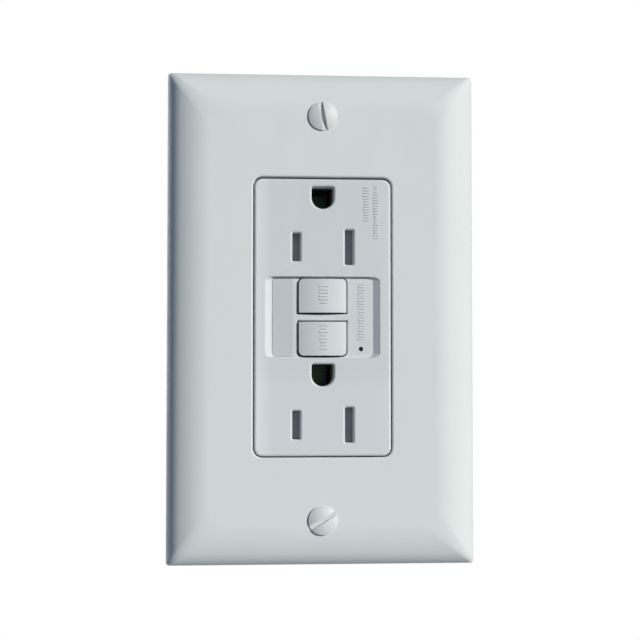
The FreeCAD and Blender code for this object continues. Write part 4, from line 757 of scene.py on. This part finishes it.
def lathe(profile, segments=56):
    """A shape turned about Z from (radius, height) points. It is closed if they start and end on the axis."""
    bm = bmesh.new()
    rings = []
    for radius, height in profile:
        if radius == 0:
            rings.append([bm.verts.new((0, 0, height))])
            continue
        angles = [math.tau * i / segments for i in range(segments)]
        rings.append([bm.verts.new((radius * math.cos(a), radius * math.sin(a), height)) for a in angles])
    for lower, upper in zip(rings, rings[1:]):
        for i in range(segments):
            after = (i + 1) % segments
            if len(lower) == 1:
                bm.faces.new((lower[0], upper[after], upper[i]))
            elif len(upper) == 1:
                bm.faces.new((lower[i], lower[after], upper[0]))
            else:
                bm.faces.new((lower[i], lower[after], upper[after], upper[i]))
    bmesh.ops.recalc_face_normals(bm, faces=bm.faces)
    return bm


def turned_at(profile, across, up, segments=56):
    """A turned shape whose axis lies along Y, at a place across and up."""
    bm = lathe(profile, segments)
    place = Matrix.Translation((across, 0, up)) @ TURN_TO_Y
    bmesh.ops.transform(bm, matrix=place, verts=bm.verts)
    return bm


def block(low, high):
    """A plain bmesh block between two corners, used as a cutter."""
    bm = bmesh.new()
    bmesh.ops.create_cube(bm, size=1)
    low, high = Vector(low), Vector(high)
    bmesh.ops.transform(bm, verts=bm.verts, matrix=Matrix.Translation((low + high) / 2)
                        @ Matrix.Diagonal((*(high - low), 1)))
    return bm


def combined(mesh, tools, operation):
    """The mesh with other closed shapes added to it or cut from it."""
    holder = held(mesh)
    others = [held(mesh_from(bm, "tool")) for bm in tools]
    for other in others:
        step = holder.modifiers.new("step", "BOOLEAN")
        step.object = other
        step.operation = operation
        step.solver = "EXACT"
    mesh = baked(holder)
    for other in others:
        bpy.data.objects.remove(other)
    bm = bmesh.new()
    bm.from_mesh(mesh)
    return mesh_from(tidied(bm), mesh.name, 30)


def thread(detail, radius, low, high, material):
    """A helical ridge between two heights, up to the screw's outer radius."""
    ridge_size = detail.thread_depth * 0.62
    turns = (high - low) / detail.thread_pitch
    ridge = trees["helix"].grow("thread", Turns=turns, Radius=radius - ridge_size, Height=high - low,
                                Wire=ridge_size, Sides=5, Steps=28, Material=material)
    return moved(ridge, Matrix(), Vector((0, 0, low)))


def machine_screw(name, detail, head, shank, low, high, material):
    """Head and shank turned as one, a driver slot across the head, and a thread on the shank."""
    root = shank - detail.thread_depth
    tip = [(root, low), (root, high - root * 0.4), (root * 0.55, high), (0, high)]
    top, half, past = head[0][1], detail.slot_width / 2, 10 * MM
    cutter = block((-half, -past, top - past), (half, past, top + detail.slot_depth))
    slotted = combined(mesh_from(lathe(head + tip), name), [cutter], "DIFFERENCE")
    body = soften(slotted, detail.slot_edge, 30)
    return joined(name, [body, thread(detail, shank, low, high - 0.2 * MM, material)])


class OUTLET_OT_screws(bpy.types.Operator):
    """Plate screws, box screws, terminal screws and the long assembly screws"""
    bl_idname = "outlet.screws"
    bl_label = "Screws"

    def execute(self, context):
        detail = context.scene.outlet_detail
        self.plate_screws(detail)
        self.box_screws(detail)
        for node in ("hot_terminal_screws", "neutral_terminal_screws", "assembly_screws", "ground_screw"):
            refined(node, detail.metal_edge)
        return {"FINISHED"}

    def plate_screws(self, detail):
        """Two painted oval heads, each with its slot at its own angle."""
        low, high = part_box("plate_screws")
        radius = (high.x - low.x) / 2
        crown = 0.85 * MM
        dome = (radius * radius + crown * crown) / (2 * crown)
        reaches = [radius * 0.98 * i / 14 for i in range(15)]
        head = [(reach, low.y + dome - math.sqrt(dome * dome - reach * reach)) for reach in reaches]
        shank = 1.7 * MM
        rim = low.y + crown + 0.07 * MM
        under = low.y + 1.0 * MM
        cone_end = under + 1.9 * MM
        thread_start = under + 2.3 * MM
        head += [(radius, rim), (radius * 0.985, under), (shank, cone_end)]
        meshes = []
        for centre, slot_lean in ((high.z - radius, -10.7), (low.z + radius, 59.5)):
            mesh = machine_screw("plate_screw", detail, head, shank, thread_start, high.y,
                                 materials["screw_paint"])
            turn = Matrix.Rotation(math.radians(slot_lean), 4, "Y") @ TURN_TO_Y
            meshes.append(moved(mesh, turn, Vector((0, 0, centre))))
        finish_piece("oval_head_screws", joined("oval_head_screws", meshes), "outlet", "screw_paint",
                     ["plate_screws"])

    def box_screws(self, detail):
        """The two plated screws that hold the strap in its box."""
        low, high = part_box("mounting_screws")
        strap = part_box("mounting_strap")[0].y
        radius = (high.x - low.x) / 2
        rim = 0.6 * MM
        curve = [(radius - rim + rim * math.sin(a), low.y + rim - rim * math.cos(a))
                 for a in (math.radians(15 * i) for i in range(7))]
        neck, shank = 1.5 * MM, 1.7525 * MM
        neck_end, thread_start = 0.4 * MM, 0.5 * MM
        head = [(0, low.y)] + curve + [(radius, strap), (neck, strap), (neck, neck_end)]
        meshes = []
        for centre in (high.z - radius, low.z + radius):
            mesh = machine_screw("box_screw", detail, head, shank, thread_start, high.y,
                                 materials["zinc_steel"])
            turn = Matrix.Rotation(math.radians(90), 4, "Y") @ TURN_TO_Y
            meshes.append(moved(mesh, turn, Vector((0, 0, centre))))
        finish_piece("box_screws", joined("box_screws", meshes), "outlet", "zinc_steel", ["mounting_screws"])


# ---------------------------------------------------------------- front pieces

def loop_points(left, right, low, high, radius, depth):
    """Points of a rounded rectangle at one depth, anticlockwise seen from the front."""
    corners = ((right - radius, low + radius, -90), (right - radius, high - radius, 0),
               (left + radius, high - radius, 90), (left + radius, low + radius, 180))
    points = []
    for across, up, start in corners:
        angles = [math.radians(start + 90 * i / 16) for i in range(17)]
        points += [(across + radius * math.cos(a), depth, up + radius * math.sin(a)) for a in angles]
    return points


def bulge(start, end, radius, steps):
    """The outward arc between two (inset, height) points, without its first point."""
    chord = end - start
    rise = math.sqrt(radius * radius - chord.length_squared / 4)
    centre = (start + end) / 2 + Vector((chord.y, -chord.x)).normalized() * rise
    first, last = start - centre, end - centre
    turn = first.angle_signed(last)
    return [centre + Matrix.Rotation(-turn * i / steps, 2) @ first for i in range(1, steps + 1)]


def plate_edge(plate, depth, inset):
    """The edge's (inset, height) points from the rim to the flat, for the outside or the hollow.

    The hollow's straight side is a little lower than the outside's, by a share of the wall.
    """
    lower_share = 0.34
    radius = plate.corner_radius - inset
    share = radius / plate.corner_radius
    start = Vector((plate.draft + inset, plate.side - inset * lower_share))
    bend = start + Vector((plate.corner_run, plate.corner_drop)) * share
    flat = Vector((plate.run, depth - inset))
    span = flat - bend
    soft = span.length_squared / (2 * span.y)
    return [Vector((inset, 0)), start] + bulge(start, bend, radius, 16) + bulge(bend, flat, soft, 16)


class OUTLET_OT_wall_plate(bpy.types.Operator):
    """The wall plate, its soft edge curve drawn loop by loop"""
    bl_idname = "outlet.wall_plate"
    bl_label = "Wall plate"

    def execute(self, context):
        plate = context.scene.outlet_plate
        low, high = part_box("wall_plate")
        loops = [self.outline(plate, low, high, *point) for point in plate_edge(plate, -low.y, 0)]
        for i in range(7):
            turn = math.pi / 2 * i / 6
            spread = plate.opening_round * (1 - math.sin(turn))
            loops.append(self.opening(plate, spread, low.y + plate.opening_round * (1 - math.cos(turn))))
        loops.append(self.opening(plate, 0, low.y + plate.wall))
        hollow = reversed(plate_edge(plate, -low.y, plate.wall))
        loops += [self.outline(plate, low, high, *point) for point in hollow]
        bm = bmesh.new()
        rings = [[bm.verts.new(point) for point in loop] for loop in loops]
        for ring, after in zip(rings, rings[1:] + rings[:1]):
            for i in range(len(ring)):
                following = (i + 1) % len(ring)
                bm.faces.new((ring[i], ring[following], after[following], after[i]))
        bmesh.ops.recalc_face_normals(bm, faces=bm.faces)
        mesh = self.drilled(plate, mesh_from(bm, "bevelled_plate"), low.y)
        finish_piece("bevelled_plate", mesh, "outlet", "plate_white", ["wall_plate"])
        return {"FINISHED"}

    def outline(self, plate, low, high, inset, height):
        """The plate's outline, drawn in by an inset, at a height above the wall."""
        radius = plate.outline_corner + plate.corner_growth * inset / plate.run
        return loop_points(low.x + inset, high.x - inset, low.z + inset, high.z - inset, radius, -height)

    def opening(self, plate, spread, depth):
        """The opening's edge, widened by a spread, at one depth."""
        side = plate.opening_side + spread
        return loop_points(-side, side, -plate.opening_low - spread, plate.opening_high + spread,
                           plate.opening_corner + spread, depth)

    def drilled(self, plate, mesh, front):
        """The plate with its two bosses and countersunk holes."""
        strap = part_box("mounting_strap")[0].y
        inside, past = front + plate.wall / 2, strap + MM
        boss = [(0, inside), (plate.boss_radius, inside), (plate.boss_radius, strap), (0, strap)]
        slope = (plate.sink_radius - plate.hole_radius) / plate.sink_depth
        hole = [(0, front - MM), (plate.sink_radius + slope * MM, front - MM),
                (plate.hole_radius, front + plate.sink_depth), (plate.hole_radius, past), (0, past)]
        for profile, operation in ((boss, "UNION"), (hole, "DIFFERENCE")):
            tools = [turned_at(profile, 0, up) for up in (-plate.screw_height, plate.screw_height)]
            mesh = combined(mesh, tools, operation)
        return even_normals(held(mesh), 90)


class OUTLET_OT_face(bpy.types.Operator):
    """Face cover, shutters and the bare strip"""
    bl_idname = "outlet.face"
    bl_label = "Face"

    def execute(self, context):
        edge = context.scene.outlet_detail.edge
        for node in ("face_cover", "upper_shutter", "lower_shutter"):
            refined(node, edge)
        refined("label_strip", edge / 2)
        return {"FINISHED"}


class OUTLET_OT_buttons(bpy.types.Operator):
    """Test and reset buttons"""
    bl_idname = "outlet.buttons"
    bl_label = "Buttons"

    def execute(self, context):
        for node in ("test_button", "reset_button"):
            refined(node, context.scene.outlet_detail.edge)
        return {"FINISHED"}


class OUTLET_OT_marks(bpy.types.Operator):
    """Plain raised strokes where such an outlet carries raised words"""
    bl_idname = "outlet.marks"
    bl_label = "Raised marks"

    def execute(self, context):
        detail = context.scene.outlet_detail
        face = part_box("face_cover")[0].y
        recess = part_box("label_strip")[0].y + 0.05 * MM
        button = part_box("test_button")[0].y + 0.012 * MM
        # Piece, body and finish; place across and of the top stroke, number of strokes, their spacing and
        # greatest length, in millimetres; the surface that they stand on.
        columns = [
            ("upper_marks", "outlet", "device_white", 10.5, 31.2, 13, 0.66, 1.5, face),
            ("outer_marks", "outlet", "device_white", 12.8, 31.5, 20, 0.66, 1.2, face),
            ("panel_marks", "outlet", "device_white", 9.4, 7.9, 21, 0.66, 1.9, recess),
            ("test_marks", "test_button", "button_white", 0.2, 7.4, 6, 0.8, 2.2, button),
            ("reset_marks", "reset_button", "button_white", 0.2, -2.0, 8, 0.8, 2.2, button),
        ]
        for seed, (name, body, slot_name, across, top, count, spacing, length, level) in enumerate(columns):
            mesh = trees["strokes"].grow(name, Count=count, Spacing=spacing * MM, Length=length * MM,
                                         Rise=detail.mark_rise, Breadth=detail.mark_breadth, Seed=seed,
                                         Material=materials[slot_name])
            moved(mesh, Matrix(), Vector((across * MM, level, top * MM)))
            finish_piece(name, mesh, body, slot_name)
        return {"FINISHED"}


# ---------------------------------------------------------------- strap, board and housings

class OUTLET_OT_strap(bpy.types.Operator):
    """Mounting strap, retainers, terminals and contacts"""
    bl_idname = "outlet.strap"
    bl_label = "Strap and contacts"

    def execute(self, context):
        edge = context.scene.outlet_detail.metal_edge
        # The ground contacts take the brass darkened as painted shade for their deep holes.
        for node in ("upper_ground_contact", "lower_ground_contact"):
            refined(node, edge, materials["aged_brass"])
        for node in ("mounting_strap", "screw_retainers", "load_hot_contact", "load_neutral_contact",
                     "line_hot_terminal", "line_neutral_terminal", "line_contacts", "clamp_plates",
                     "contact_bridges", "test_contact"):
            refined(node, edge)
        return {"FINISHED"}


class OUTLET_OT_components(bpy.types.Operator):
    """Circuit board, its components and the small fixed and sliding pieces"""
    bl_idname = "outlet.components"
    bl_label = "Board and components"

    soldered = ("capacitor", "varistor", "diodes", "resistors", "controller_chip", "thyristor")
    others = ("circuit_board", "coil_housing", "coil_conductors", "sense_core", "neutral_core",
              "solenoid_bobbin", "solenoid_frame", "plunger", "latch_slide", "reset_pin", "ground_rivets",
              "light_pipe", "status_led")
    marked = {"capacitor": "can_sleeve", "diodes": "diode_case", "controller_chip": "chip_case"}

    def execute(self, context):
        detail = context.scene.outlet_detail
        for node in self.others + self.soldered:
            refined(node, detail.fine_edge, materials.get(self.marked.get(node)))
        self.solder(detail)
        return {"FINISHED"}

    def solder(self, detail):
        """Small domes on the board's front, where the leads of the parts behind it come through."""
        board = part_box("circuit_board")[0].y
        margin = Vector((0.7, 0, 0.7)) * MM
        places = []
        for node in self.soldered:
            for low, high in self.parts_of(node):
                middle = (low + high) / 2
                reach = (high - low) / 2 - margin
                along = Vector((0, 0, reach.z)) if reach.z > reach.x else Vector((reach.x, 0, 0))
                for side in (-1, 1):
                    places.append(Vector((middle.x, board, middle.z)) + along * side)
        mesh = trees["solder"].grow("solder_joints", places, Radius=detail.solder_radius,
                                    Material=materials["solder"])
        finish_piece("solder_joints", mesh, "outlet", SLOTS["circuit_board"], (), materials["solder"])

    def parts_of(self, node):
        """The boxes of a node's separate solids."""
        bm = merged_copy(node)
        left = set(bm.verts)
        while left:
            solid, waiting = set(), [left.pop()]
            while waiting:
                point = waiting.pop()
                solid.add(point)
                near = {edge.other_vert(point) for edge in point.link_edges} & left
                left -= near
                waiting += near
            yield tuple(Vector([pick(point.co[i] for point in solid) for i in range(3)])
                        for pick in (min, max))
        bm.free()


class OUTLET_OT_housings(bpy.types.Operator):
    """Rear housing, middle housing and the moving carrier"""
    bl_idname = "outlet.housings"
    bl_label = "Housings"

    def execute(self, context):
        detail = context.scene.outlet_detail
        for node in ("middle_housing", "contact_carrier"):
            refined(node, detail.edge)
        node = "rear_housing"
        mesh = combined(mesh_from(merged_copy(node), node), self.back_relief(detail), "DIFFERENCE")
        finish_piece(f"{node}_finished", soften(mesh, detail.edge), BODY_OF[node], SLOTS[node], [node])
        return {"FINISHED"}

    def back_relief(self, detail):
        """Cutters for the bare panel, the wire gauge and the round ejector marks on the back."""
        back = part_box("rear_housing")[1].y
        bottom, past = back - detail.relief, back + MM
        panel, gauge = (7.6, -16.5, 20.5), (6.5, -23.4, -21.8)
        shapes = [block((-half * MM, bottom, low * MM), (half * MM, past, high * MM))
                  for half, low, high in (panel, gauge)]
        radius = 2.1 * MM
        mark = [(0, bottom), (radius, bottom), (radius, past), (0, past)]
        for across, up in ((-6, 25.5), (6, 25.5), (0, -28)):
            shapes.append(turned_at(mark, across * MM, up * MM, 40))
        return shapes


# ---------------------------------------------------------------- springs and coils

class OUTLET_OT_springs(bpy.types.Operator):
    """Every coil spring, wound as real wire"""
    bl_idname = "outlet.springs"
    bl_label = "Springs"

    def spring(self, name, axis, turns, node, joint, travel, wire, centres=None):
        """A spring fills its frame node's box; axis 0, 1 or 2 is its long way.

        With a travel it moves with its frame node's body; without one it stays fixed where it is wound.
        """
        low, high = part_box(node)
        sides = [i for i in range(3) if i != axis]
        radius = min(high[i] - low[i] for i in sides) / 2 - wire
        turn = (TURN_TO_X, TURN_TO_Y, Matrix())[axis]
        meshes = []
        height = high[axis] - low[axis]
        for centre in centres or [(low + high) / 2]:
            start = Vector(centre)
            start[axis] = low[axis] + wire
            mesh = trees["helix"].grow(name, Turns=turns, Radius=radius, Height=height - 2 * wire, Wire=wire,
                                       Sides=10, Steps=36, Material=materials["spring_steel"])
            meshes.append(moved(mesh, turn, start))
        ends = [Vector((0, 0, 0)), Vector((0, 0, 0))]
        ends[0][axis], ends[1][axis] = low[axis], high[axis]
        if travel:
            piece = finish_piece(name, joined(name, meshes), BODY_OF[node], "spring_steel", [node])
            along = Vector((0, 0, 0))
            along[axis] = 1
            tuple(ends[1])
            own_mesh(piece)
            return
        piece = finish_piece(name, joined(name, meshes), None, "spring_steel", [node])
        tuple(ends[0])
        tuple(ends[1])
        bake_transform(piece)

    def execute(self, context):
        wire = context.scene.outlet_detail.spring_wire
        travel = {joint["name"]: max(abs(end) for end in joint["range_m"]) for joint in frame["joints"]}
        shortened = [
            ("test_return_spring", 1, 6.0, "test_spring", "test_press"),
            ("reset_return_spring", 1, 6.0, "reset_spring", "reset_press"),
            ("upper_shutter_return", 0, 5.0, "upper_shutter_spring", "upper_shutter_slide"),
            ("lower_shutter_return", 0, 5.0, "lower_shutter_spring", "lower_shutter_slide"),
        ]
        for name, axis, turns, node, joint in shortened:
            self.spring(name, axis, turns, node, joint, travel[joint], wire)
        self.spring("plunger_return", 2, 4.0, "plunger_spring", "plunger_slide", 0, wire)
        low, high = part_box("break_springs")
        radius = (high.z - low.z) / 2
        centres = [Vector((x, 0, (low.z + high.z) / 2)) for x in (low.x + radius, high.x - radius)]
        self.spring("break_return_springs", 1, 4.0, "break_springs", "carrier_slide", 0, wire, centres)
        return {"FINISHED"}


class OUTLET_OT_coils(bpy.types.Operator):
    """Ring windings and the trip coil, turn by turn"""
    bl_idname = "outlet.coils"
    bl_label = "Coils"

    def execute(self, context):
        detail = context.scene.outlet_detail
        for which in ("sense", "neutral"):
            self.ring(which, detail)
        self.magnet(detail)
        return {"FINISHED"}

    def ring(self, which, detail):
        """The loops round one ring core, inside the winding's own box."""
        node, wire = f"{which}_winding", detail.core_wire
        low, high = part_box(node)
        core_low, core_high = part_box(f"{which}_core")
        outer = (high.x - low.x) / 2
        core_outer = (core_high.x - core_low.x) / 2
        inner = core_outer - detail.core_thickness - (outer - core_outer)
        mesh = trees["ring_winding"].grow(
            f"{which}_turns", Count=detail.core_turns, Ring=(outer + inner) / 2,
            Across=outer - inner - 2 * wire, Along=high.y - low.y - 2 * wire, Wire=wire,
            Material=materials["copper_wire"])
        moved(mesh, TURN_TO_Y, (low + high) / 2)
        finish_piece(f"{which}_turns", mesh, "outlet", "copper_wire", [node])

    def magnet(self, detail):
        """The trip coil: its outer turns over the hidden ones, which are one plain sleeve."""
        low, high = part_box("solenoid_winding")
        middle = (low + high) / 2
        radius = (high.x - low.x) / 2
        wire = (high.z - low.z) / detail.magnet_turns / 2
        turns = trees["stacked_turns"].grow(
            "magnet_turns", Count=detail.magnet_turns, Radius=radius - wire, Length=high.z - low.z - 2 * wire,
            Wire=wire, Material=materials["copper_wire"])
        moved(turns, Matrix(), Vector((middle.x, middle.y, low.z + wire)))
        inner, outer = radius * 0.6, radius - wire
        bm = lathe([(inner, low.z), (outer, low.z), (outer, high.z), (inner, high.z), (inner, low.z)])
        bmesh.ops.remove_doubles(bm, verts=bm.verts, dist=1e-7)
        bmesh.ops.recalc_face_normals(bm, faces=bm.faces)
        sleeve = moved(mesh_from(bm, "magnet_sleeve"), Matrix(), Vector((middle.x, middle.y, 0)))
        finish_piece("magnet_turns", joined("magnet_turns", [turns, sleeve]), "outlet", "copper_wire",
                     ["solenoid_winding"])


# ---------------------------------------------------------------- the add-on

class OUTLET_OT_materials(bpy.types.Operator):
    """Makes every finish and every node tree"""
    bl_idname = "outlet.materials"
    bl_label = "Finishes"

    def execute(self, context):
        make_materials(context.scene.outlet_finish)
        for make in (helix_tree, ring_winding_tree, stacked_turns_tree, strokes_tree, solder_tree):
            trees[make.__name__.removesuffix("_tree")] = make()
        return {"FINISHED"}


class OUTLET_PT_pieces(bpy.types.Panel):
    """Lists the steps that build the outlet's looks"""
    bl_label = "Outlet"
    bl_idname = "OUTLET_PT_pieces"
    bl_space_type = "VIEW_3D"
    bl_region_type = "UI"
    bl_category = "Outlet"

    def draw(self, context):
        for step in STEPS:
            self.layout.operator(step.bl_idname)
        for group in SETTINGS:
            settings = getattr(context.scene, group)
            for name in settings.__annotations__:
                self.layout.prop(settings, name)


STEPS = (OUTLET_OT_materials, OUTLET_OT_stage, OUTLET_OT_wall_plate, OUTLET_OT_face, OUTLET_OT_buttons,
         OUTLET_OT_marks, OUTLET_OT_screws, OUTLET_OT_strap, OUTLET_OT_components, OUTLET_OT_housings,
         OUTLET_OT_springs, OUTLET_OT_coils)
SETTINGS = {"outlet_finish": FinishSettings, "outlet_detail": DetailSettings, "outlet_plate": PlateSettings,
            "outlet_stage": StageSettings}
CLASSES = (*SETTINGS.values(), *STEPS, OUTLET_PT_pieces)


def register():
    for item in CLASSES:
        bpy.utils.register_class(item)
    for name, group in SETTINGS.items():
        setattr(bpy.types.Scene, name, PointerProperty(type=group))


def unregister():
    for name in SETTINGS:
        delattr(bpy.types.Scene, name)
    for item in reversed(CLASSES):
        bpy.utils.unregister_class(item)


def main():
    register()
    for step in STEPS:
        family, action = step.bl_idname.split(".")
        getattr(getattr(bpy.ops, family), action)()


if __name__ == "__main__":
    main()
